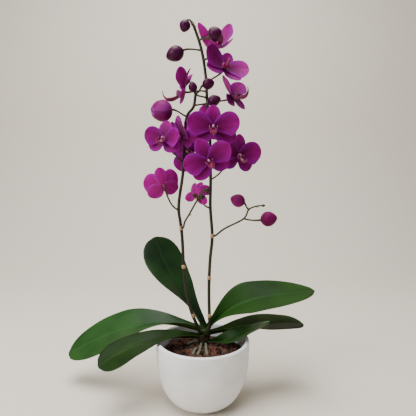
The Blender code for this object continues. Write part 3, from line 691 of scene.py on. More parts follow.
class OrchidStageSettings(bpy.types.PropertyGroup):
    """Camera, lights and floor."""
    distance: length("Distance", "Distance of the camera in front of the pot's axis", 0.6724)
    eye_height: length("Eye height", "Height of the camera over the floor", 0.3874)
    floor: colour("Floor", "Colour of the floor and the backdrop", "#D8CFC1")
    light: FloatProperty(name="Light", description="Power of the main soft light in watts",
                         default=53.0, min=0.0)


# --- pot and bark -------------------------------------------------------------------------------

# steps of a turned form: round its axis, up the inner and outer wall of the bowl, and over its rim
POT_SIDES, BARK_SIDES = 128, 96
INNER_STEPS, OUTER_STEPS, RIM_STEPS = 20, 36, 12
# loose chips: name, darkest and palest tone, and how many there are as a share of the setting. The tones
# are the chips' own red, brown and tan, darkened as painted shade of the leaves over the bark
CHIP_SHADES = (("bark_chips_red", "#2C1009", "#6A3822", 1.0),
               ("bark_chips_brown", "#180C07", "#40261A", 1.0),
               ("bark_chips_tan", "#341E14", "#745040", 0.6))
# the middles of the chips keep this far from the bowl's wall
CHIP_EDGE_GAP = 0.0085


def pot_outer_radius(pot, height, inset=0.0):
    """Radius of the bowl at a height: straight under the rim, then curved in to the foot."""
    shoulder = pot.height - POT_STRAIGHT
    if height >= shoulder:
        return pot.radius - inset
    depth = min((shoulder - height) / shoulder, 1.0)
    reach = math.sqrt(max(1.0 - depth ** POT_FULLNESS, 0.0))
    return pot.foot_radius + (pot.radius - pot.foot_radius) * reach - inset


def bowl_curve(pot, inset, low, high, count):
    """Wall points from a high to a low height, closer together near the foot."""
    points = []
    for step in range(count + 1):
        height = low + (high - low) * math.cos(0.5 * math.pi * step / count)
        points.append((pot_outer_radius(pot, height, inset), height))
    return points


def turned_mesh(name, profile, sides):
    """Mesh of a profile turned round the Z axis with a Screw modifier."""
    mesh = bpy.data.meshes.new(name)
    edges = [(number, number + 1) for number in range(len(profile) - 1)]
    mesh.from_pydata([(radius, 0.0, height) for radius, height in profile], edges, [])
    obj = link(name, mesh)
    screw = obj.modifiers.new("Screw", "SCREW")
    screw.steps = sides
    screw.render_steps = sides
    screw.use_merge_vertices = True
    screw.merge_threshold = 0.00005
    return applied_mesh(obj)


def applied_mesh(obj):
    """Mesh of an object with its modifiers applied. The object itself is removed."""
    bpy.context.view_layer.update()
    evaluated = obj.evaluated_get(bpy.context.evaluated_depsgraph_get())
    mesh = bpy.data.meshes.new_from_object(evaluated)
    bpy.data.objects.remove(obj, do_unlink=True)
    tidy = bmesh.new()
    tidy.from_mesh(mesh)
    bmesh.ops.remove_doubles(tidy, verts=tidy.verts, dist=0.00002)
    bmesh.ops.recalc_face_normals(tidy, faces=tidy.faces)
    tidy.to_mesh(mesh)
    tidy.free()
    return mesh


def bark_height(x, y):
    """Top of the bark, which is mounded a little round the stem."""
    return BARK_TOP - BARK_MOUND * min((math.hypot(x, y) / POT_RADIUS) ** 2, 1.0)


class ORCHID_OT_pot(bpy.types.Operator):
    """Turn the ceramic bowl."""
    bl_idname = "orchid.pot"
    bl_label = "Ceramic bowl"

    def execute(self, context):
        pot = context.scene.orchid_pot
        rim = []
        half_wall = pot.wall / 2
        for step in range(RIM_STEPS + 1):
            turn = math.pi * (1.0 - step / RIM_STEPS)
            rim.append((pot.radius - half_wall + half_wall * math.cos(turn),
                        pot.height - half_wall + half_wall * math.sin(turn)))
        shoulder = pot.height - POT_STRAIGHT
        inner = bowl_curve(pot, pot.wall, POT_FLOOR, shoulder, INNER_STEPS)[::-1]
        outer = bowl_curve(pot, 0.0, 0.0, shoulder, OUTER_STEPS)
        profile = [(0.0, POT_FLOOR)] + inner + rim + outer + [(0.0, 0.0)]
        mesh = turned_mesh("ceramic_bowl", profile, POT_SIDES)
        mesh.materials.append(ceramic_material(pot.glaze))
        mesh.shade_smooth()
        mesh.set_sharp_from_angle(angle=math.radians(50.0))
        finish_piece(link("ceramic_bowl", mesh), "pot_ceramic", "pot")
        return {"FINISHED"}


def chip_tree(material, seed, size, count):
    """Node tree that scatters rough chips over a surface, turned and sized at random."""
    tree = bpy.data.node_groups.new("Scattered bark chips", "GeometryNodeTree")
    face = tree.interface
    face.new_socket("Geometry", in_out="INPUT", socket_type="NodeSocketGeometry")
    chip_size = face.new_socket("Chip Length", in_out="INPUT", socket_type="NodeSocketFloat")
    density = face.new_socket("Chips per Square Metre", in_out="INPUT", socket_type="NodeSocketFloat")
    face.new_socket("Geometry", in_out="OUTPUT", socket_type="NodeSocketGeometry")
    given = add_node(tree, "NodeGroupInput")
    spread = add_node(tree, "GeometryNodeDistributePointsOnFaces", links={
        "Mesh": given.outputs["Geometry"], "Density": given.outputs["Chips per Square Metre"],
        "Seed": seed})
    # a chip is about half as wide as it is long, and a third as thick
    chip = add_node(tree, "GeometryNodeMeshCube", links={
        "Size": (1.0, 0.55, 0.34), "Vertices X": 5, "Vertices Y": 4, "Vertices Z": 3})
    scale = add_node(tree, "FunctionNodeRandomValue", {"data_type": "FLOAT"},
                     {2: 0.45, 3: 1.1, "Seed": seed + 1})
    sized = add_node(tree, "ShaderNodeMath", {"operation": "MULTIPLY"},
                     {0: scale.outputs[1], 1: given.outputs["Chip Length"]})
    # it lies up to half a radian off level, and faces any way
    turn = add_node(tree, "FunctionNodeRandomValue", {"data_type": "FLOAT_VECTOR"},
                    {0: (-0.55, -0.45, 0.0), 1: (0.55, 0.45, 6.28), "Seed": seed + 2})
    placed = add_node(tree, "GeometryNodeInstanceOnPoints", links={
        "Points": spread.outputs["Points"], "Instance": chip.outputs["Mesh"],
        "Rotation": turn.outputs[0], "Scale": sized.outputs[0]})
    real = add_node(tree, "GeometryNodeRealizeInstances", links={
        "Geometry": placed.outputs["Instances"]})
    place = add_node(tree, "GeometryNodeInputPosition")
    # lumps about 5 mm wide break up each chip's straight sides
    lump = add_node(tree, "ShaderNodeTexNoise", links={"Vector": place.outputs[0], "Scale": 210.0,
                                                       "Detail": 2.0})
    centred = add_node(tree, "ShaderNodeVectorMath", {"operation": "SUBTRACT"},
                       {0: lump.outputs["Color"], 1: (0.5, 0.5, 0.5)})
    shift = add_node(tree, "ShaderNodeVectorMath", {"operation": "SCALE"},
                     {0: centred.outputs[0], "Scale": 0.0062})
    broken = add_node(tree, "GeometryNodeSetPosition", links={
        "Geometry": real.outputs["Geometry"], "Offset": shift.outputs[0]})
    painted = add_node(tree, "GeometryNodeSetMaterial", links={
        "Geometry": broken.outputs["Geometry"], "Material": material})
    result = add_node(tree, "NodeGroupOutput")
    tree.links.new(painted.outputs["Geometry"], result.inputs["Geometry"])
    return tree, {chip_size.identifier: size, density.identifier: count}


class ORCHID_OT_bark(bpy.types.Operator):
    """Fill the bowl with bark and scatter loose chips over it."""
    bl_idname = "orchid.bark"
    bl_label = "Bark"

    def execute(self, context):
        pot = context.scene.orchid_pot
        edge = bark_height(POT_RADIUS, 0.0)
        bowl = bowl_curve(pot, pot.wall, POT_FLOOR, pot.height - POT_STRAIGHT, INNER_STEPS)
        wall = [(radius - CLEAR, height + CLEAR) for radius, height in bowl if height + CLEAR < edge]
        brim = pot_outer_radius(pot, edge, pot.wall) - 2 * CLEAR
        top = [(brim * ring / 14, bark_height(brim * ring / 14, 0.0)) for ring in range(15)]
        mesh = turned_mesh("bark_fill", top + wall + [(0.0, POT_FLOOR + CLEAR)], BARK_SIDES)
        # the top is uneven by about 1 mm, in lumps about 6 mm wide
        for vertex in mesh.vertices:
            reach = math.hypot(vertex.co.x, vertex.co.y)
            if vertex.co.z > edge - 0.0005 and reach < brim - 0.002:
                vertex.co.z += 0.0012 * noise.noise(vertex.co * 160.0) - 0.0008
        # the fill's dark tones are partly painted shade of the bark under the leaves and chips
        mesh.materials.append(bark_material("Fine bark dust", "#140B07", "#301A10"))
        mesh.shade_smooth()
        finish_piece(link("bark_fill", mesh), "bark", "bark_bed")
        spread = brim - CHIP_EDGE_GAP
        reaches = [spread * ring / 6 for ring in range(7)]
        rings = [(reach, bark_height(reach, 0.0) + 0.0012) for reach in reaches]
        for number, (name, dark, light, share) in enumerate(CHIP_SHADES):
            material = bark_material(name.replace("_", " ").capitalize(), dark, light)
            ground = link(name, turned_mesh(name + "_ground", rings, 24))
            density = pot.chip_count / (math.pi * spread ** 2) * share
            tree, inputs = chip_tree(material, 5 + 10 * number, pot.chip_length, density)
            scatter = ground.modifiers.new("Chips", "NODES")
            scatter.node_group = tree
            for socket, value in inputs.items():
                scatter[socket] = value
            finish_piece(link(name, applied_mesh(ground)), "bark")
        return {"FINISHED"}


# --- crown, roots and spikes --------------------------------------------------------------------

def level(turn):
    """Level direction at an angle from +X."""
    return Vector((math.cos(turn), math.sin(turn), 0.0))


def leaf_half_width(leaf, t):
    """Half the blade's width: a narrow channel at the foot, a broad blade and a round tip."""
    half = leaf["width"] / 2
    if t < leaf["widest"]:
        grow = math.sin(0.5 * math.pi * max(t, 0.0) / leaf["widest"]) ** 2
        return half * (leaf["root"] + (1.0 - leaf["root"]) * grow)
    past = (t - leaf["widest"]) / (1.0 - leaf["widest"])
    return half * math.sqrt(max(1.0 - past ** 2.7, 0.0008))


def leaf_direction(leaf, t):
    """Direction of a leaf's midrib at one place along it, and the level direction to its side."""
    azimuth = math.radians(blend(leaf["azimuth"], t))
    rise = math.radians(blend(leaf["rise"], t))
    ahead = Vector((math.cos(rise) * math.cos(azimuth), math.cos(rise) * math.sin(azimuth),
                    math.sin(rise)))
    return ahead, Vector((math.sin(azimuth), -math.cos(azimuth), 0.0))


def leaf_line(leaf, rows):
    """Midrib points with the blade's side and upper directions at each."""
    place = Vector(leaf["foot"])
    frames = []
    for row in range(rows + 1):
        ahead, side = leaf_direction(leaf, row / rows)
        upper = side.cross(ahead)
        roll = math.radians(blend(leaf["roll"], row / rows))
        frames.append((place.copy(), side * math.cos(roll) + upper * math.sin(roll),
                       upper * math.cos(roll) - side * math.sin(roll)))
        place += leaf_direction(leaf, (row + 0.5) / rows)[0] * leaf["length"] / rows
    return frames


def root_radius(t):
    """Radius of an aerial root along it, down to its round tip."""
    tip = math.sqrt(max(1.0 - (max(t - 0.94, 0.0) / 0.06) ** 2, 0.02))
    return ROOT_RADIUS * (1.0 - 0.15 * t) * tip


class ORCHID_OT_crown(bpy.types.Operator):
    """Build the short stem with its leaf sheaths, and the aerial roots."""
    bl_idname = "orchid.crown"
    bl_label = "Crown and aerial roots"

    def execute(self, context):
        foot = bark_height(*STEM_PLACE) - 0.001
        self.add_stem(foot)
        self.add_husks(foot)
        self.add_roots(context.scene.orchid_stalks.root)
        return {"FINISHED"}

    def add_stem(self, foot):
        """Stem, and the green sheaths that rise from it into the feet of the leaves."""
        form = Form()
        steps = 18
        points = [Vector((*STEM_PLACE, foot + (STEM_TOP - foot) * step / steps))
                  for step in range(steps + 1)]
        swell = [STEM_RADIUS * (1.02 + 0.05 * math.sin(2.9 * step)) for step in range(steps + 1)]
        swell[-1] *= 0.5
        form.tube(points, swell, 20)
        for leaf in LEAVES.values():
            (place, _, upper), (following, _, _) = leaf_line(leaf, 11)[:2]
            out = (following - place).normalized()
            radius = leaf["width"] * 0.045
            end = place + out * 0.004 + upper * radius * 0.5
            start = Vector((*STEM_PLACE, end.z - 0.010))
            route = bezier(start, start.lerp(end, 0.3), end - out * 0.006, end, 8)
            form.tube(route, [radius * (1.0 + 0.1 * math.sin(2.5 * step)) for step in range(9)], 14)
        # sheaths are dull, brown at the foot and green where a living leaf begins
        skin = stalk_material("Green leaf sheath", "#241E0E", "#34461A", "#1A120A", 0.6)
        form.finish("crown_stem", [skin], "stem", "short_stem")

    def add_husks(self, foot):
        """Remains of older leaves' sheaths, in a spiral up the stem's foot."""
        husk = Form()
        rng = random.Random(4)
        for number in range(9):
            out = level(2.0 * math.pi * (0.618 * number % 1.0))
            base = Vector((*STEM_PLACE, foot + 0.0012 * number))
            lean = (UP + out * rng.uniform(0.05, 0.22)).normalized()
            bract(husk, base, lean, out, STEM_RADIUS * rng.uniform(1.06, 1.30),
                  rng.uniform(0.013, 0.023), rng.uniform(0.9, 1.35), 0)
        # dead sheaths have dried to brown paper without any shine
        dry = stalk_material("Dry papery sheath", "#20140C", "#3E2E1A", "#160D08", 0.85)
        husk.finish("dry_sheaths", [dry], "stem")

    def add_roots(self, tone):
        """Aerial roots that leave the stem, or the bark, and lie over the bark."""
        # the spongy skin of a dry root is chalky and silver green
        velamen = stalk_material("Silvery root velamen", tone, "#6E725C", "#363C26", 0.8)
        rng = random.Random(9)
        for name, (azimuth, route) in ROOTS.items():
            rest = [Vector((x, y, bark_height(x, y) + ROOT_RADIUS + CLEAR + lift))
                    for x, y, lift in route]
            if azimuth is None:
                rest = [rest[0] - ROOT_DIVE] + rest + [rest[-1] - ROOT_END]
            else:
                out = level(math.radians(azimuth))
                height = bark_height(*STEM_PLACE) + ROOT_RADIUS + ROOT_SEAT_LIFT
                seat = Vector((*STEM_PLACE, height)) + out * STEM_RADIUS * 0.8
                rest = [seat, seat + out * 0.0035] + rest
            root = Form()
            root.tube(smooth_path(rest, 6), lambda t: root_radius(t) * rng.uniform(0.95, 1.05), 16)
            root.finish(name.replace("aerial_root", "silvery_root"), [velamen], "root", name)


class ORCHID_OT_spikes(bpy.types.Operator):
    """Build the two flower spikes with the bracts at their nodes."""
    bl_idname = "orchid.spikes"
    bl_label = "Flower spikes"

    def execute(self, context):
        settings = context.scene.orchid_stalks
        lines = limb_lines()
        # a spike is dark, smooth and waxy, with olive streaks
        skin = stalk_material("Waxy spike skin", settings.low, settings.high, "#34311A")
        # bracts at bare nodes have bleached to tan paper, and those under a flower stalk are brown
        pale = stalk_material("Dry tan bract", "#A58A66", "#C2A27C", "#7A5C40", 0.7)
        dark = stalk_material("Brown bract", "#5A4630", "#4A3A26", "#3A2A1C", 0.7)
        for name, route in SPIKES.items():
            form = Form()
            path = smooth_path(route, 6)
            last = len(path) - 1
            radii = []
            for number, point in enumerate(path):
                near = sum(bulge(point.z - height, 0.003) for height in SPIKE_BRACTS[name])
                radii.append(spike_radius(number / last) * (1.0 + 0.10 * near))
            radii[-1] *= 0.6
            form.tube(path, radii, 14)
            self.add_bracts(form, name, lines, settings.bract_length)
            for centre, size, towards in SPIKE_NUBS.get(name, ()):
                add_bud(form, centre, size, size * 0.8, towards, 2)
            form.finish(name.replace("spike", "flower_spike"), [skin, pale, dark], "spike", name)
        return {"FINISHED"}

    def add_bracts(self, form, name, lines, bract_length):
        """Pale bracts at the bare nodes, and a small brown one under each stalk and twig."""
        points = lines[name][0]
        for number, height in enumerate(SPIKE_BRACTS[name]):
            towards = Vector((0.35 * (-1) ** number, -1.0, 0.0)) + limb_at(points, height)[0]
            seat, out, along = limb_seat(lines, name, height, towards)
            radius = SPIKE_RADIUS * 0.96
            bract(form, seat - out * (radius + CLEAR), along, out, radius, bract_length, 2.75, 1)
        seats = [stalk[:3] for stalk in (*BLOOMS.values(), *BUDS.values())]
        seats += [(spike, height, route[0]) for spike, height, route in TWIGS.values()]
        for limb, height, centre in seats:
            if limb != name or height > points[-1].z:
                continue
            seat, out, along = limb_seat(lines, name, height - 0.001, centre)
            radius = spike_radius(limb_at(points, height)[1])
            bract(form, seat - out * (radius + CLEAR), (along + out * 0.35).normalized(), out,
                  radius * 1.02, 0.0042, 1.25, 2)


# --- leaves -------------------------------------------------------------------------------------

# upper side of each leaf: body, deeper patches, midrib, roughness and gloss. Older, lower leaves are
# yellower and duller, and the two that face the light shine more. The leaves that lie in shade get darker
# bodies, which is painted shade
LEAF_TONES_WITH_PAINTED_SHADE = {
    "leaf_upright": ("#1A3A14", "#10260C", "#2E5824", 0.42, 0.22),
    "leaf_left": ("#274E1B", "#1C4014", "#40703A", 0.40, 0.28),
    "leaf_lower_left": ("#1B360B", "#0E2104", "#44681E", 0.46, 0.12),
    "leaf_right": ("#20430F", "#163409", "#38642A", 0.50, 0.10),
    "leaf_lower_right": ("#2C4410", "#1D2E08", "#4A5E2A", 0.52, 0.12),
    "leaf_small": ("#20440F", "#102A07", "#527C2C", 0.46, 0.12),
}


class ORCHID_OT_leaves(bpy.types.Operator):
    """Build the six thick strap leaves."""
    bl_idname = "orchid.leaves"
    bl_label = "Leaves"

    def execute(self, context):
        # the underside has less wax, so it is paler, yellower and duller than the top
        under = leaf_material("Leaf underside", context.scene.orchid_leaves.under, "#2C4014", "#5A7030",
                              0.55, 0.15)
        for seed, (name, leaf) in enumerate(LEAVES.items()):
            title = name.replace("leaf_", "Leaf cuticle ").replace("_", " ")
            upper = leaf_material(title, *LEAF_TONES_WITH_PAINTED_SHADE[name])
            form = Form()
            form.blade(*self.blade_rows(leaf, seed))
            form.finish(name.replace("leaf", "strap_leaf"), [upper, under], "leaf", name)
        return {"FINISHED"}

    def blade_rows(self, leaf, seed):
        """Middle surface of a leaf, from inside the crown to its tip, and its half thickness."""
        fine = 240
        frames = leaf_line(leaf, fine)
        foot, side, upper = frames[0]
        out = (frames[1][0] - foot).normalized()
        start = Vector((*STEM_PLACE, foot.z - 0.010))
        channel = bezier(start, start.lerp(foot, 0.35), foot - out * 0.006, foot, 6)[:-1]
        rows = [(place, side, upper, 0.0) for place in channel]
        for step in range(53):
            t = math.sin(0.5 * math.pi * step / 52)
            rows.append((*frames[round(t * fine)], t))
        columns = 19
        grid = []
        half = []
        for place, side, upper, t in rows:
            reach = leaf_half_width(leaf, t)
            reach *= 1.0 + 0.018 * noise.noise(Vector((t * 5.0, seed * 3.7, 0.0)))
            fold = math.radians(LEAF_BASE_FOLD * (1.0 - t) ** 2.5 + leaf["fold"])
            line = []
            thick = []
            for share in eased_shares(columns):
                lift = abs(share) * reach * math.sin(fold)
                groove = 0.0009 * bulge(share, 0.07) * min(1.0, 4.0 * (1.0 - t))
                wave = 0.0012 * abs(share) * noise.noise(Vector((t * 6.0, share, seed * 5.1)))
                line.append(list(place + side * share * reach * math.cos(fold)
                                 + upper * (lift - groove + wave)))
                keel = 1.0 + 0.35 * bulge(share, 0.08)
                thick.append(leaf["thick"] / 2 * keel * math.sqrt(max(1.0 - share ** 6, 0.0)))
            grid.append(line)
            half.append(thick)
        return grid, half


# --- blooms, twigs and buds ---------------------------------------------------------------------

# a bloom's materials, in the order of its slots
FACE, BACK, CRIMSON, PALE_LOBE, ORANGE, BLUSH, STALK = range(7)

# how wide a petal or sepal is at its claw, where it is widest, how blunt its tip is, and how far one
# corner of the blade hangs
PETAL_OUTLINE = (0.28, 0.60, 2.3, 0.16)
SEPAL_OUTLINE = (0.36, 0.50, 1.9, 0.0)

# the lip's middle line as (up, forward, half width), the column's as (up, forward), and the column's
# radii, for a bloom of this width
LIP_BLOOM_WIDTH = 0.08
LIP_LINE = ((-0.0010, 0.0010, 0.0022), (-0.0068, 0.0075, 0.0046), (-0.0108, 0.0130, 0.0054),
            (-0.0124, 0.0180, 0.0048), (-0.0118, 0.0225, 0.0028), (-0.0092, 0.0258, 0.0014),
            (-0.0052, 0.0276, 0.0004))
COLUMN_LINE = ((0.0, -0.001), (0.0014, 0.0025), (0.0022, 0.0052), (0.0016, 0.0080), (0.0, 0.0100),
               (-0.0018, 0.0108))
COLUMN_RADII = (0.0026, 0.0024, 0.0022, 0.0020, 0.0020, 0.0020, 0.0021, 0.0021, 0.0019, 0.0015, 0.0007)
# and how much smaller the column is than that
COLUMN_SIZE = 0.88


def bloom_frame(centre, turn, tilt, roll):
    """Matrix whose +Z faces out of the bloom and whose +Y points to its top sepal."""
    spin = Matrix.Rotation(math.radians(turn), 4, "Z")
    face = Matrix.Rotation(math.radians(90.0 - tilt), 4, "X")
    lean = Matrix.Rotation(math.radians(roll), 4, "Z")
    return Matrix.Translation(centre) @ spin @ face @ lean


def tepal(form, sizes, cup, fold, outline, curl, seed):
    """One petal or sepal: a narrow claw, a broad blade with a soft ruffle, and a round tip.

    The cup lifts its tip by an angle, the fold turns its blade about the midrib, and the curl bends the
    tip back.
    """
    direction, reach, width, lift = sizes
    root, widest, tip, corner = outline
    rows, columns = 26, 17
    turn = math.radians(direction)
    ahead = np.array((math.cos(turn), math.sin(turn), 0.0))
    side = np.array((math.sin(turn), -math.cos(turn), 0.0))
    hang = -1.0 if side[1] > 0.0 else 1.0
    fold = math.radians(fold) * (1.0 if ahead[0] > 0.0 else -1.0)
    grid = np.zeros((rows, columns, 3))
    half = np.zeros((rows, columns))
    for row in range(rows):
        t = math.sin(0.5 * math.pi * row / (rows - 1))
        if t < widest:
            share = root + (1.0 - root) * math.sin(0.5 * math.pi * t / widest) ** 1.15
        else:
            share = math.sqrt(max(1.0 - ((t - widest) / (1.0 - widest)) ** tip, 0.0006))
        droop = corner * (bulge(t - widest, 0.16) - 0.45 * bulge(t - 0.95, 0.14))
        twist = fold * min(2.5 * t, 1.0)
        for column, u in enumerate(eased_shares(columns)):
            across = u * 0.5 * width * share * (1.0 + droop * max(u * hang, 0.0))
            ruffle = 0.030 * noise.noise(Vector((t * 2.6, u * 1.5, seed))) * (0.3 + 0.7 * abs(u))
            hollow = 0.05 * u * u * share - 0.02 * bulge(u, 0.16) * t
            height = lift + reach * t * t * math.tan(math.radians(cup)) - curl * reach * t ** 4
            height += width * (ruffle + hollow) + across * math.sin(twist)
            grid[row, column] = ahead * reach * t + side * across * math.cos(twist) + (0.0, 0.0, height)
            half[row, column] = 0.0005 * math.sqrt(max(1.0 - u ** 4, 0.0)) * (1.4 - 0.6 * t)
    form.blade(grid, half, (FACE, BACK))


def side_lobe_spot(side, t, u):
    """Place on one of the lip's upright side lobes, along it and across it."""
    width = 0.0036 * math.sin(math.pi * min(0.22 + 0.76 * t, 0.985)) ** 0.7
    reach = 0.0020 + 0.0042 * math.sin(0.4 + 1.3 * t)
    centre = Vector((side * reach, -0.0058 + 0.0074 * t, 0.0050 + 0.0046 * t))
    return centre + Vector((0.0, -0.35, 0.94)) * u * width + Vector((-side * 0.0009 * u * u, 0.0, 0.0))


def add_lip(form, unit, curl):
    """Lip: a keeled middle lobe with an upturned point, two upright side lobes and a callus."""
    last = len(LIP_LINE) - 1
    line = [(0.0, up + curl * 0.006 * (n / last) ** 3, out) for n, (up, out, _) in enumerate(LIP_LINE)]
    widths = [half_width for _, _, half_width in LIP_LINE]
    per_span = 4
    grid = []
    columns = 11
    for number, point in enumerate(smooth_path(line, per_span)):
        low = min(number // per_span, last - 1)
        half_width = widths[low] + (widths[low + 1] - widths[low]) * (number / per_span - low)
        row = []
        for column in range(columns):
            u = 1.0 - 2.0 * column / (columns - 1)
            edge = 0.85 * half_width * abs(u) ** 1.6
            row.append([u * half_width * unit, (point.y + edge) * unit, (point.z - edge * 0.3) * unit])
        grid.append(row)
    form.blade(grid, 0.00045 * unit, (CRIMSON, CRIMSON))
    for side in (-1.0, 1.0):
        lobe = sheet(9, 7, lambda t, u: side_lobe_spot(side, t, -side * u) * unit)
        form.blade(lobe, 0.0003 * unit, (PALE_LOBE, CRIMSON))
        bump = [Vector((side * 0.0010, -0.0052 - 0.0006 * n, 0.0058 + 0.0008 * n)) * unit
                for n in range(4)]
        form.tube(bump, [radius * unit for radius in (0.0004, 0.0009, 0.0009, 0.0003)], 8, ORANGE)


def add_column(form, unit):
    """Short hooded column over the lip, with a rounded cap at its tip."""
    path = [point * unit for point in smooth_path([(0.0, *place) for place in COLUMN_LINE], 2)]
    form.tube(path, [radius * unit for radius in COLUMN_RADII], 12, BLUSH)


def add_stalk(form, seat, out, end, arrive, radius, slot, neck=1.15):
    """Flower stalk that leaves its seat squarely and curves to the bloom's back."""
    span = (end - seat).length
    first = seat + (out + UP * 0.35).normalized() * span * 0.35
    path = bezier(seat - out * radius, first, end - arrive * span * 0.35, end, 16)

    def thickness(t):
        return radius * (1.12 - 0.22 * math.sin(math.pi * min(1.2 * t, 1.0)) + (neck - 1.0) * t)

    form.tube(path, thickness, 10, slot)


class ORCHID_OT_blooms(bpy.types.Operator):
    """Build the thirteen open blooms, each with its stalk, lip and column."""
    bl_idname = "orchid.blooms"
    bl_label = "Blooms"

    def execute(self, context):
        colours = context.scene.orchid_blooms
        lines = limb_lines()
        skins = [
            # a petal's face drinks light at its heart, and its back is paler and pinker. Both carry a rim
            # colour that is painted light through the thin margins
            petal_material("Petal face velvet", colours.heart, colours.petal, colours.edge, "#5C003C"),
            petal_material("Petal back velvet", "#96206C", "#9A047C", "#B224BC", "#780458", 0.55),
            # the lip is waxy and crimson, with whitish lobes and column and two orange beads
            plain_tissue("Crimson lip", colours.lip, "#7E0650"),
            plain_tissue("Pale lip lobe", "#9C5484", "#78084E"),
            plain_tissue("Orange callus", "#C07418", "#8E2A18"),
            plain_tissue("Blush column", "#AC7494", "#8C3874"),
            # flower stalks turn from brown green to plum
            stalk_material("Flower stalk skin", "#2A1C12", "#4C1626", "#3A3018"),
        ]
        for seed, (name, bloom) in enumerate(BLOOMS.items()):
            spike, height, centre, turn, tilt, roll, width, cup = bloom
            habit = HABIT | HABITS.get(name, {})
            form = Form()
            self.add_tepals(form, habit, width, cup, seed)
            unit = width / LIP_BLOOM_WIDTH
            add_column(form, unit * COLUMN_SIZE)
            add_lip(form, unit * habit["lip"], habit["curl"])
            matrix = bloom_frame(centre, turn, tilt, roll)
            form.move(matrix)
            seat, out, _ = limb_seat(lines, spike, height, centre)
            facing = matrix.to_3x3() @ UP
            end = Vector(centre) + facing * 0.001
            add_stalk(form, seat, out, end, facing, PEDICEL_RADIUS, STALK, 1.25)
            form.finish(name.replace("bloom", "open_bloom"), skins, "petal", name)
        return {"FINISHED"}

    def add_tepals(self, form, habit, width, cup, seed):
        """Three sepals, and two petals in front of them, as the bloom's habit sets them."""
        for part, (direction, reach, breadth, lift) in enumerate(SEPALS):
            grown = habit["lower" if part else "upper"]
            sizes = (direction, width * reach * habit["size"] * grown, width * breadth * grown,
                     width * lift)
            tepal(form, sizes, cup + habit["low" if part else "top"], 0.0, SEPAL_OUTLINE, 0.05,
                  seed * 7.3 + part * 2.1)
        for part, (direction, reach, breadth, lift) in enumerate(PETALS):
            right = 1 if direction < 90.0 else -1
            bend = habit["cup"] + habit["lean"] * right
            reach *= habit["size"] * math.cos(math.radians(0.7 * bend))
            sizes = (direction + habit["rise"] * right, width * reach, width * breadth * habit["slim"],
                     width * lift)
            fold = habit["fold"] - (habit["ease"] if right > 0 else 0.0)
            tepal(form, sizes, cup + bend, fold, PETAL_OUTLINE, 0.02, seed * 5.9 + part * 3.7)


def bud_radius(width, t):
    """Radius of a bud along its length: a round foot, a full belly and a blunt tip."""
    return max(width / 2 * math.sin(math.pi * (0.02 + 0.96 * t) ** 0.86) ** 0.62, 0.0001)


def add_bud(form, centre, size, width, towards, slot):
    """Plump ovoid bud with the seams of its three sepals."""
    tip = Vector(towards).normalized()
    rows = 22
    points = [Vector(centre) + tip * size * (step / rows - 0.5) for step in range(rows + 1)]

    def seamed(t, turn):
        away = math.remainder(turn, 2.0 * math.pi / 3.0)
        return 0.99 - 0.06 * bulge(away, 0.10) * math.sin(math.pi * t) ** 0.5

    form.tube(points, lambda t: bud_radius(width, t), 36, slot, seamed)


def add_opening_sepals(form, centre, size, width, towards):
    """Three sepals that overlap in a spiral round a bud that begins to open."""
    tip = Vector(towards).normalized()
    side = tip.cross(UP).normalized()
    upper = side.cross(tip)

    def spot(start, t, u):
        turn = math.radians(start + 84.0 * u * (1.0 - 0.35 * t ** 3) + 26.0 * t)
        radius = bud_radius(width * 0.91, t) * (1.03 + 0.09 * u) + 0.0004
        out = side * math.cos(turn) + upper * math.sin(turn)
        lean = 0.03 * size * max(u, 0.0) * t
        return Vector(centre) + tip * (size * (t - 0.5) * 0.98 + lean) + out * radius

    for start in (100.0, 220.0, 340.0):
        grid = sheet(18, 17, lambda t, u: spot(start, 0.02 + 0.97 * t, u))
        form.blade(grid, 0.00045, (0, 0))


